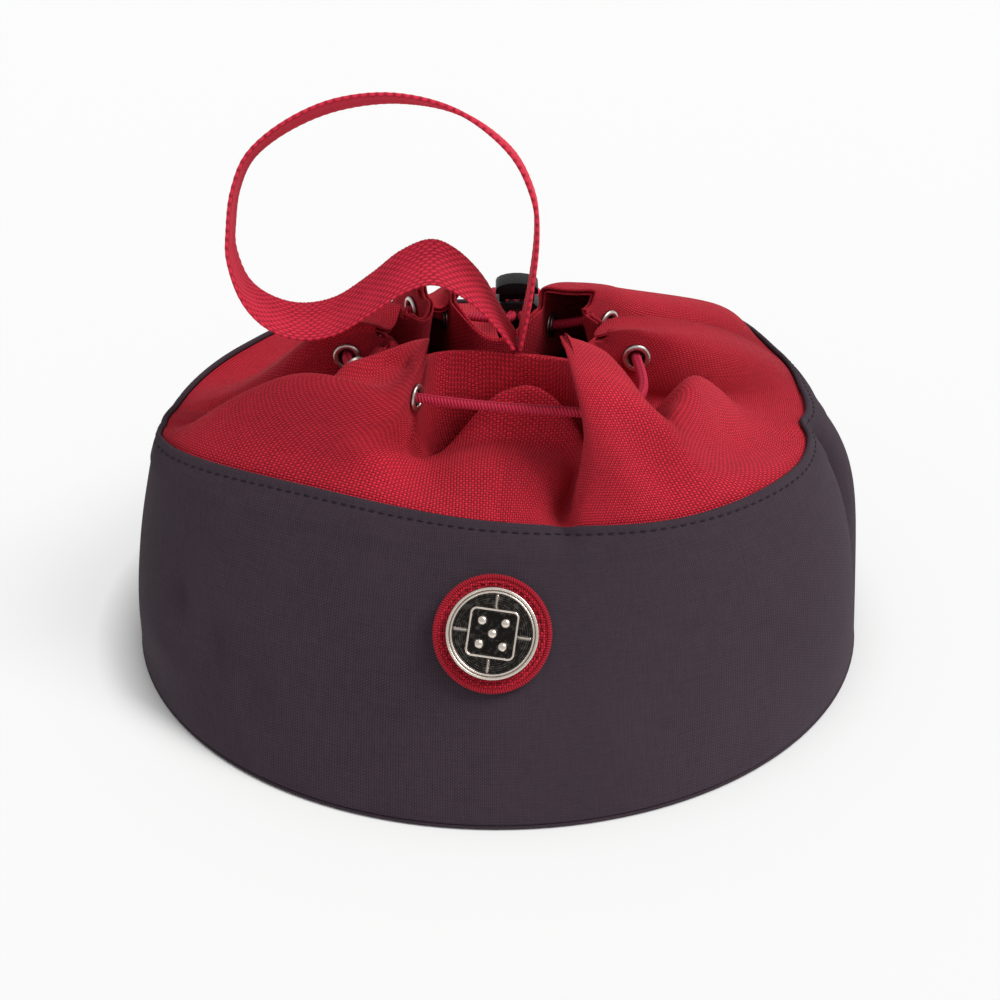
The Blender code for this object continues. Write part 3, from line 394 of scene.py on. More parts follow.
def curve_point(p0, p1, p2, p3, share):
    """A point on the smooth curve from p1 to p2, between its neighbours p0 and p3."""
    return 0.5 * (2 * p1 + (p2 - p0) * share + (2 * p0 - 5 * p1 + 4 * p2 - p3) * share ** 2
                  + (3 * p1 - p0 - 3 * p2 + p3) * share ** 3)


def spline_point(points, where):
    """A point on the closed smooth curve through the points; `where` counts the points."""
    first = math.floor(where)
    near = (np.array(points[(first + step) % len(points)], float) for step in (-1, 0, 1, 2))
    return curve_point(*near, where - first)


def hermite(start, start_direction, end, end_direction, share):
    s2, s3 = share * share, share ** 3
    return (start * (2 * s3 - 3 * s2 + 1) + start_direction * (s3 - 2 * s2 + share)
            + end * (3 * s2 - 2 * s3) + end_direction * (s3 - s2))


def open_curve(points, step):
    """Points about `step` apart on a smooth open curve; a fourth value is carried along."""
    route = [np.array(p, float) for p in points]
    route = [2 * route[0] - route[1]] + route + [2 * route[-1] - route[-2]]
    result = []
    for p0, p1, p2, p3 in zip(route, route[1:], route[2:], route[3:]):
        pieces = max(1, round(np.linalg.norm((p2 - p1)[:3]) / step))
        for share in np.arange(pieces) / pieces:
            result.append(curve_point(p0, p1, p2, p3, share))
    result.append(route[-2].copy())
    return np.array(result)


def distances(points):
    """How far along a line each of its points is."""
    return np.concatenate(([0], np.cumsum(np.linalg.norm(np.diff(points, axis=0), axis=1))))


def cord_direction(index):
    heading = math.radians(EYELETS[index % STATIONS][3])
    return np.array((math.cos(heading), math.sin(heading), 0.0))


def flank_direction(index):
    """Level direction in the cloth at an eyelet, from the mouth outwards."""
    along = cord_direction(index)
    return np.array((along[1], -along[0], 0.0))


def outside_direction(index):
    """The cord leaves the bag on this side of the eyelet; a valley follows odd eyelets."""
    return cord_direction(index) * (1 if index % 2 else -1)


def eyelet_centre(index):
    return np.array(EYELETS[index % STATIONS][:3], float)


def fold_value(station, column):
    """A number from the folds' table, blended softly from one fold to the next."""
    index = math.floor(station)
    share = 0.5 - 0.5 * math.cos(math.pi * (station - index))
    return blend(FOLDS[index % STATIONS][column], FOLDS[(index + 1) % STATIONS][column], share)


def leaning(out, angle):
    """The way up a cloth that leans inwards by an angle."""
    return UP * math.cos(angle) - out * math.sin(angle)


def above_eyelet(point, out, tilt, curl, height):
    """A point of the cloth at a height above the eyelets; the cloth curls as it rises."""
    if height <= 0:
        return point + leaning(out, tilt) * height
    turn = curl * height / BRIM_ABOVE_EYELET
    return point + leaning(out, tilt + turn / 2) * height * np.sinc(turn / TAU)


def throat_frame(station):
    """The folded cloth at eyelet height: a point, the way out, and the lean there."""
    where = station - 0.5
    index = math.floor(where)
    share = where - index
    side = FLANK_HALF_WIDTH * (1 if index % 2 == 0 else -1)
    fold = FOLDS[(index + 1) % STATIONS]
    start, end = eyelet_centre(index), eyelet_centre(index + 1)
    start_out, end_out = flank_direction(index), flank_direction(index + 1)
    inner_share = min(max((share - FLANK_SHARE) / (1 - 2 * FLANK_SHARE), 0.0), 1.0)
    base = blend(start, end, inner_share)
    if share <= FLANK_SHARE:
        offset = start_out * side * share / FLANK_SHARE
    elif share >= 1 - FLANK_SHARE:
        offset = end_out * side * (1 - share) / FLANK_SHARE
    else:
        pull = fold[0] * side / FLANK_HALF_WIDTH
        offset = hermite(start + start_out * side, start_out * pull,
                         end + end_out * side, -end_out * pull, inner_share) - base
        offset[2] = 0
    out = unit(blend(start_out, end_out, inner_share))
    tilt = math.radians(fold_value(station, 1))
    reach = offset.dot(out)
    point = base + offset - out * reach - leaning(out, tilt + math.pi / 2) * reach
    return point + np.array(fold[4]) * math.sin(math.pi * inner_share) ** 2, out, tilt


def sheet_rows(levels):
    """The sheet's points at each level and column: an array of level, column and xyz."""
    stations = np.arange(COLUMNS) * STATIONS / COLUMNS
    drift = [(fold[5] - index,) for index, fold in enumerate(FOLDS)]
    below = np.array([station + spline_point(drift, station)[0] for station in stations])
    angles = TAU * below / STATIONS
    foot = np.stack((np.sin(angles) * WALL_FOOT_RADIUS, -np.cos(angles) * WALL_FOOT_RADIUS,
                     np.full(COLUMNS, WALL_FOOT_Z)), 1)
    waist = np.array([spline_point(WAIST, station) for station in below])
    hem = np.array([spline_point(HEM, station) for station in below])
    frames = [throat_frame(station) for station in stations]
    out = np.array([way for _, way, _ in frames])
    curls = [math.radians(fold_value(station, 2)) for station in stations]
    loft = np.array([(0, 0, fold_value(station, 3)) for station in stations])
    upward = np.array([leaning(way, tilt) for _, way, tilt in frames])

    def collar_row(height):
        return np.array([above_eyelet(*spot, curl, height) for spot, curl in zip(frames, curls)])

    bow = 2 * waist - 0.5 * (foot + hem)
    hem_way = unit(hem - bow)
    ridge = (0.5 - 0.5 * np.cos(math.pi * stations))[:, None]
    hem_pull = blend(HEM_PULL[0], HEM_PULL[1], ridge)
    throat_pull = blend(THROAT_PULL[0], THROAT_PULL[1], ridge)
    neck = collar_row(-THROAT_BELOW_EYELET)
    rows = []
    for level in levels:
        if level <= HEM_LEVEL:
            share = level / HEM_LEVEL
            rows.append(foot * (1 - share) ** 2 + bow * 2 * share * (1 - share) + hem * share ** 2)
        elif level >= THROAT:
            rows.append(collar_row(blend(-THROAT_BELOW_EYELET, BRIM_ABOVE_EYELET, level - THROAT)))
        else:
            share = (level - HEM_LEVEL) / (THROAT - HEM_LEVEL)
            rows.append(hermite(hem, hem_way * hem_pull, neck, upward * throat_pull, share)
                        + loft * math.sin(math.pi * share))
    rows = np.array(rows)
    for station, level, width, height, push, lift in SWELLS:
        around = below if level < HEM_LEVEL else stations
        apart = (around - station + STATIONS / 2) % STATIONS - STATIONS / 2
        weight = np.exp(-(apart / width) ** 2) * np.exp(-((levels - level) / height) ** 2)[:, None]
        rows += weight[..., None] * (push * out + lift * UP)
    return rows


def grid_normals(rows):
    """Outward directions of a grid that is closed along its columns."""
    across = np.roll(rows, -1, 1) - np.roll(rows, 1, 1)
    normals = np.cross(across, np.gradient(rows, axis=0))
    return normals / np.maximum(np.linalg.norm(normals, axis=2, keepdims=True), 1e-9)


def refine(rows):
    """Twice as many rows and columns, on smooth curves through the given ones."""
    between = (9 * (rows + np.roll(rows, -1, 1)) - np.roll(rows, 1, 1) - np.roll(rows, -2, 1)) / 16
    wide = np.stack((rows, between), 2).reshape(rows.shape[0], -1, 3)
    padded = np.concatenate((2 * wide[:1] - wide[1:2], wide, 2 * wide[-1:] - wide[-2:-1]))
    middle = (9 * (padded[1:-2] + padded[2:-1]) - padded[:-3] - padded[3:]) / 16
    result = np.empty((2 * len(wide) - 1, *wide.shape[1:]))
    result[::2], result[1::2] = wide, middle
    return result


# ------------ pieces from grids

def place(name, mesh, material, body="bag", slot=None, replaces=()):
    """Put a mesh into the scene as a smooth-shaded piece of the frame."""
    mesh.materials.clear()
    mesh.materials.append(MATERIALS[material])
    mesh.shade_smooth()
    piece = bpy.data.objects.new(name, mesh)
    scene.collection.objects.link(piece)
    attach(piece, body)
    if replaces:
        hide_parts(*replaces)
    return piece


def add_piece(name, grid, material, **places):
    """Make a piece from a grid: points in millimetres, faces, thread map and relief."""
    vertices, faces, uv, relief = grid
    mesh = bpy.data.meshes.new(name)
    points = (np.asarray(vertices, float) * MM).tolist()
    mesh.from_pydata(points, [], [list(map(int, face)) for face in faces])
    layer = mesh.uv_layers.new(name="thread")
    layer.data.foreach_set("uv", np.asarray(uv, np.float32).ravel())
    if relief is not None:
        attribute = mesh.attributes.new("relief", "FLOAT", "POINT")
        attribute.data.foreach_set("value", np.asarray(relief, np.float32).ravel())
    return place(name, mesh, material, **places)


def ring_numbers(count, sides):
    """Vertex numbers of a stack of rings, and those of the next column."""
    here = np.arange(count * sides).reshape(count, sides)
    return here, np.roll(here, -1, 1)


def end_caps(here, beside):
    """Triangles that close a stack of rings with the two centre points after it."""
    return ([(here.size, *pair) for pair in zip(beside[0], here[0])]
            + [(here.size + 1, *pair) for pair in zip(here[-1], beside[-1])])


def face_places(left, right, low, low_right, high_right, high):
    """The thread map of a grid's faces: the place of each corner, across and along."""
    corners = np.broadcast_arrays(left, low, right, low_right, right, high_right, left, high)
    return np.stack(corners, -1).reshape(*corners[0].shape, 4, 2)


def cloth_sections(rows, layer, swell, seams):
    """Lines round a ring of cloth: outer face, rounded top edge, inner face, rounded foot."""
    thickness, depth = layer
    normals = grid_normals(rows)
    middle = rows + normals * depth
    half = np.full((*rows.shape[:2], 1), thickness / 2)
    if swell is not None:
        half = half + swell[:, None, None]
    for seam in seams:
        for beside, dip in SEAM_DIPS:
            half[:, (seam + beside) % rows.shape[1]] -= dip * thickness
    outer, inner = middle + normals * half, middle - normals * (thickness / 2)
    sections = list(outer)
    for end, way, sweep in ((-1, 1, (45, 90, 135)), (0, -1, (225, 270, 315))):
        tangent = unit(rows[end] - rows[end - way])
        centre = (outer[end] + inner[end]) / 2
        radius = np.linalg.norm(outer[end] - inner[end], axis=1, keepdims=True) / 2
        for turn in np.radians(sweep):
            sections.append(centre + radius * (math.cos(turn) * normals[end] + abs(math.sin(turn)) * tangent))
        if end == -1:
            sections += list(inner[::-1])
    return np.array(sections)


def cloth_thread_map(sections):
    """The thread map of a ring of cloth, with one spacing for all its columns."""
    columns = sections.shape[1]
    steps = np.linalg.norm(np.diff(sections, axis=0), axis=2)
    low = np.cumsum(np.concatenate((np.zeros_like(steps[:1]), steps)), axis=0)
    high = np.concatenate((low[1:], low[-1:] + 0.5))
    width = SHEET_GIRTH / columns
    left = np.arange(columns) * width
    return face_places(left, left + width, low, np.roll(low, -1, 1), np.roll(high, -1, 1), high)


def hole_walls(removed, here):
    """Faces that join the cloth's outer and inner face round each hole.

    The inner face runs back down, so line n of the outer face is over line 2 * count + 2 - n.
    """
    count, columns = removed.shape[0] + 1, removed.shape[1]
    walls = []
    for row, column in zip(*np.nonzero(removed)):
        right = (column + 1) % columns
        low_left, low_right, high_left, high_right = itertools.product((row, row + 1), (column, right))
        for neighbour, start, end in (((row - 1, column), low_left, low_right),
                                      ((row + 1, column), high_right, high_left),
                                      ((row, column - 1), high_left, low_left),
                                      ((row, right), low_right, high_right)):
            if not removed[neighbour]:
                behind = [(2 * count + 2 - line, side) for line, side in (end, start)]
                walls.append([here[corner] for corner in (start, end, *behind)])
    return np.array(walls)


def ring_layer(name, rows, layer, material, replaces, holes=False, swell=None, seams=()):
    """A closed ring of cloth; `holes` cuts it round at the eyelets."""
    count, columns = rows.shape[:2]
    sections = cloth_sections(rows, layer, swell, seams)
    here, beside = ring_numbers(len(sections), columns)
    faces = np.stack((here, beside, np.roll(beside, -1, 0), np.roll(here, -1, 0)), 2)
    points, uv = sections.reshape(-1, 3), cloth_thread_map(sections)
    if holes:
        removed = np.zeros((count - 1, columns), bool)
        cells = (rows[:-1] + rows[1:] + np.roll(rows, -1, 1)[:-1] + np.roll(rows, -1, 1)[1:]) / 4
        for index in range(STATIONS):
            removed |= np.linalg.norm(cells - eyelet_centre(index), axis=2) < CLOTH_HOLE_RADIUS
        # The lines run up the outer face, over three of the top edge, then down the inner face
        kept = np.ones(here.shape, bool)
        kept[:count - 1] = ~removed
        kept[count + 3:2 * count + 2] = ~removed[::-1]
        walls = hole_walls(removed, here)
        uv = np.concatenate((uv[kept], np.zeros((len(walls), 4, 2))))
        used, faces = np.unique(np.concatenate((faces[kept], walls)), return_inverse=True)
        points = points[used]
    add_piece(name, (points, faces.reshape(-1, 4), uv, None), material, replaces=replaces)


def tube_grid(points, sides, radius, relief=None):
    """The grid of a tube along a path; its radius is one number, or one for each point.

    `relief` gives the height of its surface, from 0 to 1, at a distance and round the tube.
    """
    points = np.asarray(points, float)
    count = len(points)
    tangents = unit(np.gradient(points, axis=0))
    distance = distances(points)
    side = np.cross(tangents[0], UP)
    if np.linalg.norm(side) < 0.1:
        side = np.cross(tangents[0], (0.0, 1.0, 0.0))
    sideways = []
    for tangent in tangents:
        side = unit(side - tangent * side.dot(tangent))
        sideways.append(side)
    sideways, upwards = np.array(sideways)[:, None], np.cross(tangents, sideways)[:, None]
    angles = TAU * np.arange(sides) / sides
    heights = np.ones((count, sides))
    if relief is not None:
        heights = np.array([relief(along, angles) for along in distance])
    swell = np.reshape(radius, (-1, 1)) * (1 + BRAID_DEPTH * (heights - 1))
    way = np.cos(angles)[:, None] * sideways + np.sin(angles)[:, None] * upwards
    rings = points[:, None] + swell[..., None] * way
    vertices = np.concatenate((rings.reshape(-1, 3), points[:1], points[-1:]))
    here, beside = ring_numbers(count, sides)
    faces = np.stack((here[:-1], beside[:-1], beside[1:], here[1:]), 2).reshape(-1, 4).tolist()
    caps = end_caps(here, beside)
    width = TAU * np.max(radius) / sides
    left = np.arange(sides) * width
    low, high = distance[:-1, None], distance[1:, None]
    uv = face_places(left, left + width, low, low, high, high).reshape(-1, 2)
    uv = np.concatenate((uv, np.zeros((3 * len(caps), 2))))
    return vertices, faces + caps, uv, np.append(heights, (1, 1))


def merge_grids(grids):
    """Join several grids into one."""
    vertices, faces, uv, relief = zip(*grids)
    starts = np.cumsum([0] + [len(points) for points in vertices])
    faces = [[corner + start for corner in face] for start, part in zip(starts, faces) for face in part]
    return np.concatenate(vertices), faces, np.concatenate(uv), np.concatenate(relief)


def braid(distance, angles):
    """Relief of a braided cord: chevrons of strands that meet along its two sides."""
    reach = np.abs(angles % math.pi - math.pi / 2)
    strand = np.abs(np.sin(math.pi * distance / BRAID_PITCH + 1.9 * reach))
    return strand * (1 - 0.6 * np.exp(-(reach / 0.2) ** 2))


def turned_rings(profile, sides):
    """Rings of points from a (radius, height) profile turned about Z."""
    profile = np.asarray(profile, float)
    angles = TAU * np.arange(sides) / sides
    return np.stack((profile[:, :1] * np.cos(angles), profile[:, :1] * np.sin(angles),
                     np.repeat(profile[:, 1:], sides, 1)), 2)


def placed(points, matrix):
    return np.asarray(points, float) @ np.array(matrix.to_3x3()).T + np.array(matrix.translation)


def turned_grid(profile, sides, matrix, relief):
    """The grid of a turned ring: a closed profile, run down its outer side."""
    rings = turned_rings(profile, sides)
    vertices = placed(rings.reshape(-1, 3), matrix)
    here, beside = ring_numbers(len(rings), sides)
    faces = np.stack((here, np.roll(here, -1, 0), np.roll(beside, -1, 0), beside), 2).reshape(-1, 4)
    return vertices, faces.tolist(), np.zeros((len(faces) * 4, 2)), np.repeat(relief, sides)


def capped_stack(rings, top, bottom):
    """A stack of rings from top to bottom, closed by a centre point at each end."""
    vertices = np.concatenate((rings.reshape(-1, 3), [(0, 0, top), (0, 0, bottom)]))
    here, beside = ring_numbers(*rings.shape[:2])
    faces = np.stack((here[:-1], here[1:], beside[1:], beside[:-1]), 2).reshape(-1, 4).tolist()
    faces += end_caps(beside, here)
    uv = [tuple(vertices[corner][:2]) for face in faces for corner in face]
    return vertices, faces, uv


def facing_matrix(origin, forward, up=(0.0, 0.0, 1.0)):
    """A place whose own Z looks along `forward`."""
    z_axis = Vector(forward).normalized()
    x_axis = Vector(up).cross(z_axis).normalized()
    y_axis = z_axis.cross(x_axis)
    return Matrix.Translation(Vector(origin)) @ Matrix((x_axis, y_axis, z_axis)).transposed().to_4x4()


def stitch_grids(path, normals, length, gap, radius):
    """Short raised stitches along a path on a surface."""
    distance = distances(path)
    grids = []
    start = gap
    while start + length < distance[-1]:
        marks = start + length * np.array((0.0, 0.25, 0.5, 0.75, 1.0))
        points, ways = (np.stack([np.interp(marks, distance, axis) for axis in values.T], 1)
                        for values in (path, normals))
        rise, width = np.array((-0.5, 0.4, 0.7, 0.4, -0.5)), np.array((0.6, 0.95, 1, 0.95, 0.6))
        grids.append(tube_grid(points + ways * (rise * radius)[:, None], 6, radius * width))
        start += length + gap
    return grids


# ------------ the bag

def build_cloth():
    """The wall, the collar, its facing and the lining, from one folded sheet."""
    wall_levels = np.linspace(BASE, HEM_LEVEL, WALL_ROWS)
    collar_levels = np.linspace(HEM_LEVEL, THROAT, COLLAR_ROWS)[1:]
    throat_levels = np.linspace(THROAT, BRIM, THROAT_ROWS)[1:]
    levels = np.concatenate((wall_levels, collar_levels, throat_levels))
    rows = refine(sheet_rows(levels))
    levels = np.interp(np.arange(len(rows)) / 2, np.arange(len(levels)), levels)

    wall = rows[levels <= HEM_LEVEL + 1e-6]
    below_hem = np.linalg.norm(wall - wall[-1], axis=2).mean(1)
    swell = HEM_FOLD_EXTRA * np.clip((HEM_FOLD - below_hem) / 1.2, 0, 1)
    swell = swell - 0.3 * np.exp(-((below_hem - STITCH_LINE) / 0.9) ** 2)
    side_seams, middle_seams = (FINE_COLUMNS // 4, 3 * FINE_COLUMNS // 4), (0, FINE_COLUMNS // 2)
    ring_layer("wall", wall, WALL_CLOTH, "grey_canvas", ("wall_front", "wall_back"), swell=swell,
               seams=side_seams)
    collar = rows[levels >= TUCK]
    ring_layer("collar", collar, COLLAR_CLOTH, "red_canvas", ("collar_left", "collar_right"), holes=True,
               seams=middle_seams)
    facing = rows[levels >= FACING_FOOT]
    ring_layer("collar_facing", facing, INNER_CLOTH, "red_canvas",
               ("collar_facing_left", "collar_facing_right"), holes=True, seams=middle_seams)
    lining = rows[(levels >= LINING_FOOT) & (levels < FACING_FOOT)]
    ring_layer("lining", lining, INNER_CLOTH, "black_lining", ("lining_left", "lining_right"))

    normals = grid_normals(wall)
    line = int(np.argmin(np.abs(below_hem - STITCH_LINE)))
    around = np.append(np.arange(FINE_COLUMNS), 0)
    face = WALL_CLOTH[1] + WALL_CLOTH[0] / 2 + 0.1
    path = wall[line] + normals[line] * face
    stitches = stitch_grids(path[around], normals[line][around], length=2.1, gap=0.9, radius=0.27)
    add_piece("hem_topstitch", merge_grids(stitches), "thread_grey", slot="grey_canvas")
    return rows, levels


def build_base():
    edge = [(BASE_RADIUS - inset, height)
            for inset, height in ((1.2, 1.2), (0.35, 1.05), (0.0, 0.6), (0.35, 0.15), (1.2, 0.0))]
    disc("base_cloth", edge, "grey_canvas", ("base_panel",))
    low, high = (corner.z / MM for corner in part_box("lining_base"))
    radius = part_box("lining_base")[1].x / MM
    edge = [(radius - 0.3, high), (radius, high - 0.2), (radius, low + 0.2), (radius - 0.3, low)]
    disc("inside_base", edge, "black_lining", ("lining_base",))
    for node, material in (("base_board", "board"), ("badge_back_plate", "steel")):
        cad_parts[node].data.materials.clear()
        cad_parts[node].data.materials.append(MATERIALS[material])


def disc(name, edge, material, replaces):
    """A flat round piece: its edge profile from top to bottom, with filled faces."""
    (radius, top), bottom = edge[0], edge[-1][1]
    radii = np.linspace(0, radius, 14)[1:-1]
    profile = [(reach, top) for reach in radii] + edge + [(reach, bottom) for reach in radii[::-1]]
    vertices, faces, uv = capped_stack(turned_rings(profile, 144), top, bottom)
    add_piece(name, (vertices, faces, uv, None), material, replaces=replaces)


def build_eyelets():
    face = CLOTH_GAP + COLLAR_CLOTH[1] + COLLAR_CLOTH[0] / 2
    back = INNER_CLOTH[1] - INNER_CLOTH[0] / 2 - CLOTH_GAP
    hole, barrel, flange = EYELET_HOLE_RADIUS, EYELET_BARREL_RADIUS, EYELET_FLANGE_RADIUS
    angles = np.radians(range(8, 173, 15))
    middle, reach = blend(hole, flange, 0.5), 0.5 * (flange - hole)
    profile = [(middle - reach * math.cos(angle), face + 0.95 * math.sin(angle) ** 0.7) for angle in angles]
    profile += [(flange, face), (barrel, face - 0.05), (barrel, back - 0.8), (barrel + 0.8, back - 0.85),
                (barrel + 0.75, back - 1.15), (hole + 0.2, back - 1.2), (hole, back - 0.8)]
    relief = [0.35 + 0.65 * math.sin(angle) for angle in angles] + [0.2, 0.1, 0.1, 0.4, 0.7, 0.4, 0.15]
    inner = barrel + CLOTH_GAP
    washer = [(inner + 0.2, back), (flange - 0.1, back), (flange, back - 0.15), (flange - 0.2, back - 0.45),
              (inner + 0.3, back - 0.5), (inner, back - 0.25)]
    washer_relief = [0.3, 0.5, 1, 1, 0.6, 0.3]
    for index in range(STATIONS):
        matrix = facing_matrix(eyelet_centre(index), outside_direction(index))
        number = f"{index + 1:02d}"
        for name, node, outline, tones in (("eyelet_ring_", "eyelet_", profile, relief),
                                           ("washer_ring_", "eyelet_washer_", washer, washer_relief)):
            grid = turned_grid(outline, 40, matrix, tones)
            add_piece(name + number, grid, "nickel", replaces=(node + number,))


# ------------ cords

def drawstring_route():
    """From the lock's right hole, through every eyelet and back to its left hole."""
    right, left = (np.array((LOCK_X + offset, LOCK_Y, CORD_HEIGHT_IN_LOCK))
                   for offset in (CORD_HALF_SPACING, -CORD_HALF_SPACING))
    half_depth = np.array((0, LOCK_DEPTH / 2, 0))
    forward = np.array((0.0, 1.0, 0.0))
    knots = [(right + half_depth, -forward), (right - half_depth, -forward)]
    for index in list(range(5, -1, -1)) + list(range(11, 5, -1)):
        middle = eyelet_centre(index) - outside_direction(index) * EYELET_MIDDLE_DEPTH
        knots.append((middle, -cord_direction(index)))
    knots += [(left - half_depth, forward), (left + half_depth, forward)]
    points = []
    for (start, start_way), (end, end_way) in zip(knots, knots[1:]):
        length = np.linalg.norm(end - start)
        pieces = max(3, round(length / CORD_STEP))
        for share in np.arange(pieces) / pieces:
            points.append(hermite(start, start_way * length, end, end_way * length, share))
    points.append(knots[-1][0])
    return np.array(points)


def overhand_knot(centre, size):
    """A closed overhand-knot line, lying flat."""
    turn = np.linspace(0.25, TAU + 0.05, 150)
    x, y = np.sin(turn) + 2 * np.sin(2 * turn), np.cos(turn) - 2 * np.cos(2 * turn)
    return centre + size * np.stack((x, y, -0.95 * np.sin(3 * turn)), 1)


def build_cords():
    # The braid's relief shapes the cord and also tones it, as painted shade between the strands
    add_piece("drawstring_braid", tube_grid(drawstring_route(), 20, CORD_RADIUS, braid), "red_cord",
              replaces=("drawstring",))
    for side, route in (("left", LEFT_TAIL), ("right", RIGHT_TAIL)):
        points = open_curve(route, CORD_STEP)
        tail = add_piece(f"tail_braid_{side}", tube_grid(points, 20, CORD_RADIUS, braid), "red_cord",
                         replaces=(f"tail_{side}",))
        low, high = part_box(f"knot_{side}")
        centre = np.array((low + high) / 2) / MM
        line = overhand_knot(np.array((centre[0], centre[1], KNOT_HEIGHT)), KNOT_SIZE)
        knot = add_piece(f"knot_braid_{side}", tube_grid(line, 16, KNOT_CORD_RADIUS, braid), "red_cord",
                         replaces=(f"knot_{side}",))


# ------------ webbing loop

def build_strap():
    """Webbing swept round the loop, with lanes of raised floats on both faces."""
    route = open_curve(STRAP_ROUTE, STRAP_STEP)
    points, tilts = route[:, :3], np.radians(route[:, 3])
    distance = distances(points)
    widths = np.stack((np.zeros(len(points)), -np.cos(tilts), np.sin(tilts)), 1)
    normals = unit(np.cross(np.gradient(points, axis=0), widths))
    across = np.linspace(-1, 1, STRAP_POINTS)
    sections, relief = [], []
    for face, order in ((1, across), (-1, across[::-1])):
        for share in order:
            offset = share * STRAP_WIDTH / 2
            lane = (offset - LANE_START) / LANE_WIDTH
            bead = math.pi * (distance / FLOAT_LENGTH + 0.5 * (np.floor(lane) % 2))
            height = np.abs(np.sin(math.pi * lane)) ** 0.9 * np.abs(np.sin(bead)) ** 0.9
            wobble = EDGE_WOBBLE * np.sin(distance * TAU / EDGE_WOBBLE_PITCH) * (abs(share) > 0.97)
            lift = STRAP_THICKNESS / 2 - FLOAT_RISE + FLOAT_RISE * height
            lift = lift * (1 - 0.55 * abs(share) ** 14)
            sections.append(points + widths * (offset + wobble * np.sign(share))[:, None]
                            + face * normals * lift[:, None])
            relief.append(height)
    sections = np.array(sections).transpose(1, 0, 2)
    relief = np.array(relief).T
    count, around = sections.shape[:2]
    here, beside = ring_numbers(count, around)
    faces = np.stack((here[:-1], here[1:], beside[1:], beside[:-1]), 2).reshape(-1, 4).tolist()
    half = around // 2
    for row, flip in ((0, False), (count - 1, True)):
        for i in range(half - 1):
            quad = (here[row, i], here[row, i + 1], here[row, around - 2 - i], here[row, around - 1 - i])
            faces.append(quad[::-1] if flip else quad)
    u = np.concatenate((across, across[::-1])) * STRAP_WIDTH / 2
    u = u + np.repeat((0, BACK_THREAD_SHIFT), half)
    uv = [(u[corner % around], distance[corner // around]) for face in faces for corner in face]
    # The float heights are kept as relief, which the webbing's material paints as a highlight on the floats
    # and shade between them
    add_piece("webbing_loop", (sections.reshape(-1, 3), faces, uv, relief.ravel()), "red_webbing",
              body="strap", replaces=("strap",))


def rounded_block(name, node, material, bevel, body="bag"):
    """A copy of a CAD node with rounded edges."""
    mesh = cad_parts[node].data.copy()
    mesh.name = name
    piece = place(name, mesh, material, body=body, replaces=(node,))
    mesh.set_sharp_from_angle(angle=math.radians(60))
    weld = piece.modifiers.new("weld", "WELD")
    weld.merge_threshold = 0.00002
    edges = piece.modifiers.new("edges", "BEVEL")
    edges.width = bevel * MM
    edges.segments = 4
    edges.limit_method = "ANGLE"
    edges.angle_limit = math.radians(35)


def build_lock():
    """The barrel, the button and the loop's sewn ends, and the spring that the button squashes."""
    rounded_block("lock_barrel_moulding", "lock_barrel", "black_plastic", 0.8, body="lock")
    rounded_block("lock_button_moulding", "lock_plunger", "black_plastic", 1.5, body="plunger")
    rounded_block("loop_root", "strap_sewn_ends", "red_webbing", 0.5)
    low, high = (np.array(corner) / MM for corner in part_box("lock_spring"))
    middle, rise = (low + high) / 2, high[2] - low[2]
    reach = (high[0] - low[0]) / 2 - SPRING_WIRE_RADIUS
    turn = np.linspace(0, TAU * SPRING_TURNS, 200)
    height = np.linspace(low[2] + SPRING_WIRE_RADIUS, high[2] - SPRING_WIRE_RADIUS, len(turn))
    coil = np.stack((middle[0] + reach * np.cos(turn), middle[1] + reach * np.sin(turn), height), 1)
    spring = add_piece("spring_coil", tube_grid(coil, 10, SPRING_WIRE_RADIUS), "steel", body="lock",
                       replaces=("lock_spring",))
    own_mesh(spring)


# ------------ badge

def badge_base(rows, levels):
    """The badge's place: its centre on the wall, looking outwards."""
    line = rows[:, BADGE_COLUMN]
    wall = levels <= HEM_LEVEL
    at = np.interp(BADGE_CENTRE_Z, line[wall, 2], np.arange(wall.sum()))
    low, high = int(at), int(at) + 1
    centre = blend(line[low], line[high], at - low)
    along = Vector(line[high + 3] - line[low - 3]).normalized()
    outward = Vector((1, 0, 0)).cross(along)
    return facing_matrix(centre, outward, along)


def soft_step(value, width):
    return 0.5 + 0.5 * np.tanh(value / width)


def bar(value, middle, width):
    """1 along a flat-topped line around a middle, and 0 away from it."""
    return np.exp(-((value - middle) / width) ** 4)


def medal_surface(x, y):
    """Height and tone of a two-step rim and a five-pip die face with four rays."""
    radius = np.hypot(x, y)
    rim = np.maximum(bar(radius, 12.15, 0.5), 0.85 * bar(radius, 11.2, 0.36))
    angle = math.radians(DIE_TURN)
    across = x * math.cos(angle) + y * math.sin(angle)
    along = y * math.cos(angle) - x * math.sin(angle)
    square = np.maximum(np.abs(across), np.abs(along))
    corner = np.hypot(np.maximum(np.abs(across) - DIE_HALF, 0), np.maximum(np.abs(along) - DIE_HALF, 0))
    outline = np.where(corner > 0, DIE_HALF + corner, square)
    border = bar(outline, DIE_HALF + DIE_CORNER, 0.42)
    pips = np.zeros_like(x)
    for column, row in ((0, 0), (1, 1), (1, -1), (-1, 1), (-1, -1)):
        reach = np.hypot(across - column * PIP_SPACING, along - row * PIP_SPACING)
        pips = np.maximum(pips, np.sqrt(np.clip(1 - (reach / PIP_RADIUS) ** 2, 0, 1)))
    spokes = np.exp(-(across / 0.3) ** 2) + np.exp(-(along / 0.3) ** 2)
    rays = 0.7 * np.clip(spokes, 0, 1) * soft_step(outline - 7.0, 0.15) * soft_step(10.6 - radius, 0.15)
    ground = 0.1 * np.clip(np.sin(TAU * radius / 0.62), 0, 1) ** 4 * soft_step(outline - 7.2, 0.2)
    raised = np.maximum.reduce((rim, border, pips, rays, ground))
    return 1.15 + 0.95 * raised, np.clip(raised * 1.25, 0, 1)


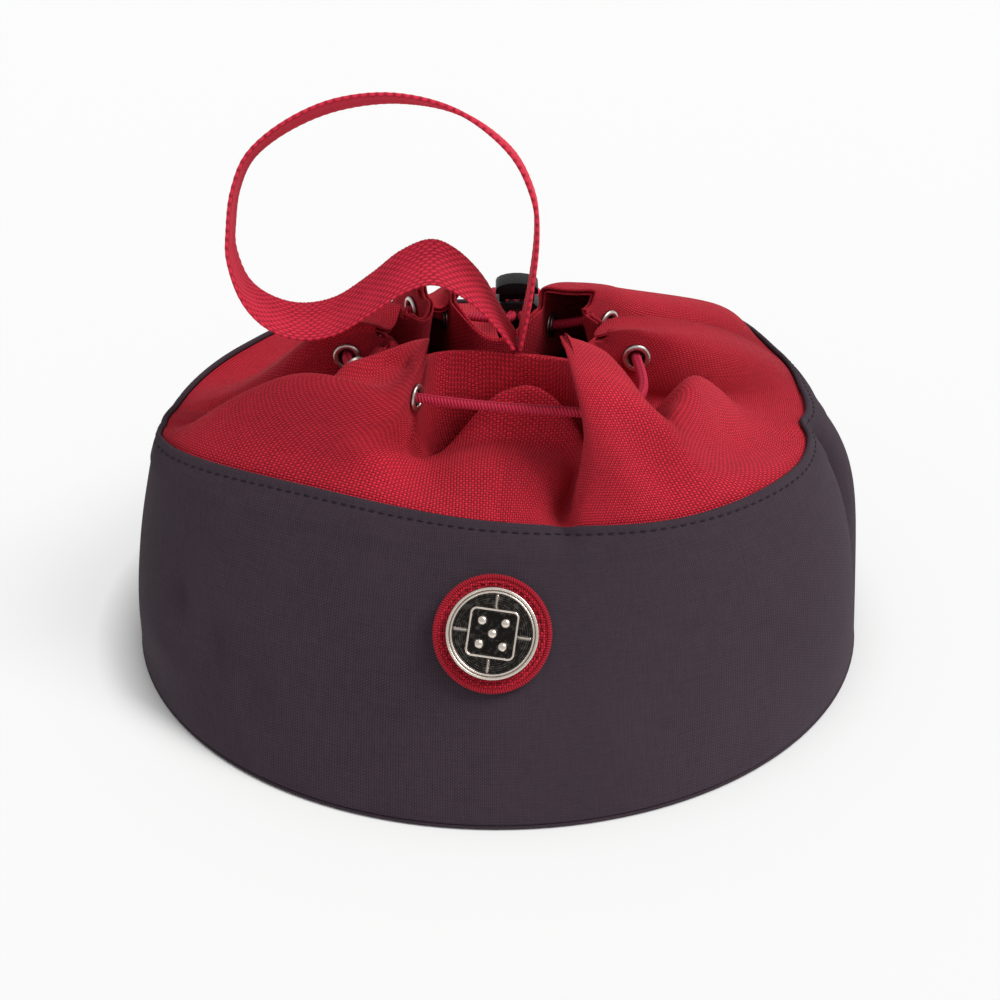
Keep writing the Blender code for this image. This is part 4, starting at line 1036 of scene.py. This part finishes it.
def patch_surface(x, y):
    """Height and tone of the patch: thicker near its edge, then falling off."""
    radius = np.hypot(x, y)
    edge = np.sqrt(np.clip(1 - ((radius - 15.0) / 1.0) ** 2, 0, 1))
    return 0.85 + 0.1 * edge - 0.35 * np.clip((radius - 15.6) / 0.4, 0, 1), np.ones_like(x)


def round_field(name, radius, rings, sides, surface, base, low, material, node):
    """A round piece whose upper face is a height field, with its tone kept as relief."""
    flat = turned_rings([(radius * ring / rings, 0) for ring in range(rings + 1)], sides)
    heights, tones = surface(flat[..., 0], flat[..., 1])
    flat[..., 2] = low + heights
    top, bottom = flat[1:], flat[:0:-1].copy()
    bottom[..., 2] = low
    vertices, faces, uv = capped_stack(np.concatenate((top, bottom)), low + heights[0, 0], low)
    relief = np.concatenate((tones[1:].ravel(), tones[:0:-1].ravel(), (tones[0, 0], 0.3)))
    add_piece(name, (placed(vertices, base), faces, uv, relief), material, replaces=(node,))


def build_badge(rows, levels):
    base = badge_base(rows, levels)
    patch_low = WALL_CLOTH[1] + WALL_CLOTH[0] / 2 + PATCH_GAP
    round_field("badge_medal", BADGE_RADIUS, 110, 220, medal_surface, base, patch_low + MEDAL_LIFT,
                "antique_silver", "badge")
    round_field("badge_cloth", PATCH_RADIUS - 0.2, 40, 120, patch_surface, base, patch_low,
                "red_canvas", "badge_patch")
    angles = np.linspace(0, TAU, 400)
    circle = np.stack((np.cos(angles), np.sin(angles), np.zeros(400)), 1)
    ring = placed(circle * PATCH_STITCH_RADIUS + UP * (patch_low + PATCH_STITCH_LIFT), base)
    outward = np.tile(placed([UP], base) - placed([0 * UP], base), (400, 1))
    stitches = stitch_grids(ring, outward, length=1.5, gap=0.75, radius=0.28)
    add_piece("patch_stitching", merge_grids(stitches), "thread_red", slot="red_canvas")
    wraps = []
    for index in range(PATCH_WRAPS):
        start, end = (np.array((math.cos(angle), math.sin(angle), 0.0))
                      for angle in (TAU * index / PATCH_WRAPS, TAU * (index + 0.35) / PATCH_WRAPS))
        points = np.array([start * 14.9, blend(start, end, 0.3) * 15.2, blend(start, end, 0.6) * 15.75,
                           end * 16.0, end * 15.95])
        points[:, 2] = patch_low + np.array((0.9, 1.15, 1.1, 0.7, 0.15))
        wraps.append(tube_grid(placed(points, base), 6, 0.3))
    add_piece("patch_overcast_edge", merge_grids(wraps), "patch_thread", slot="red_canvas")


make_camera()
make_lights()
make_floor()
build_cords()
sheet, sheet_levels = build_cloth()
build_base()
build_eyelets()
build_strap()
build_lock()
build_badge(sheet, sheet_levels)
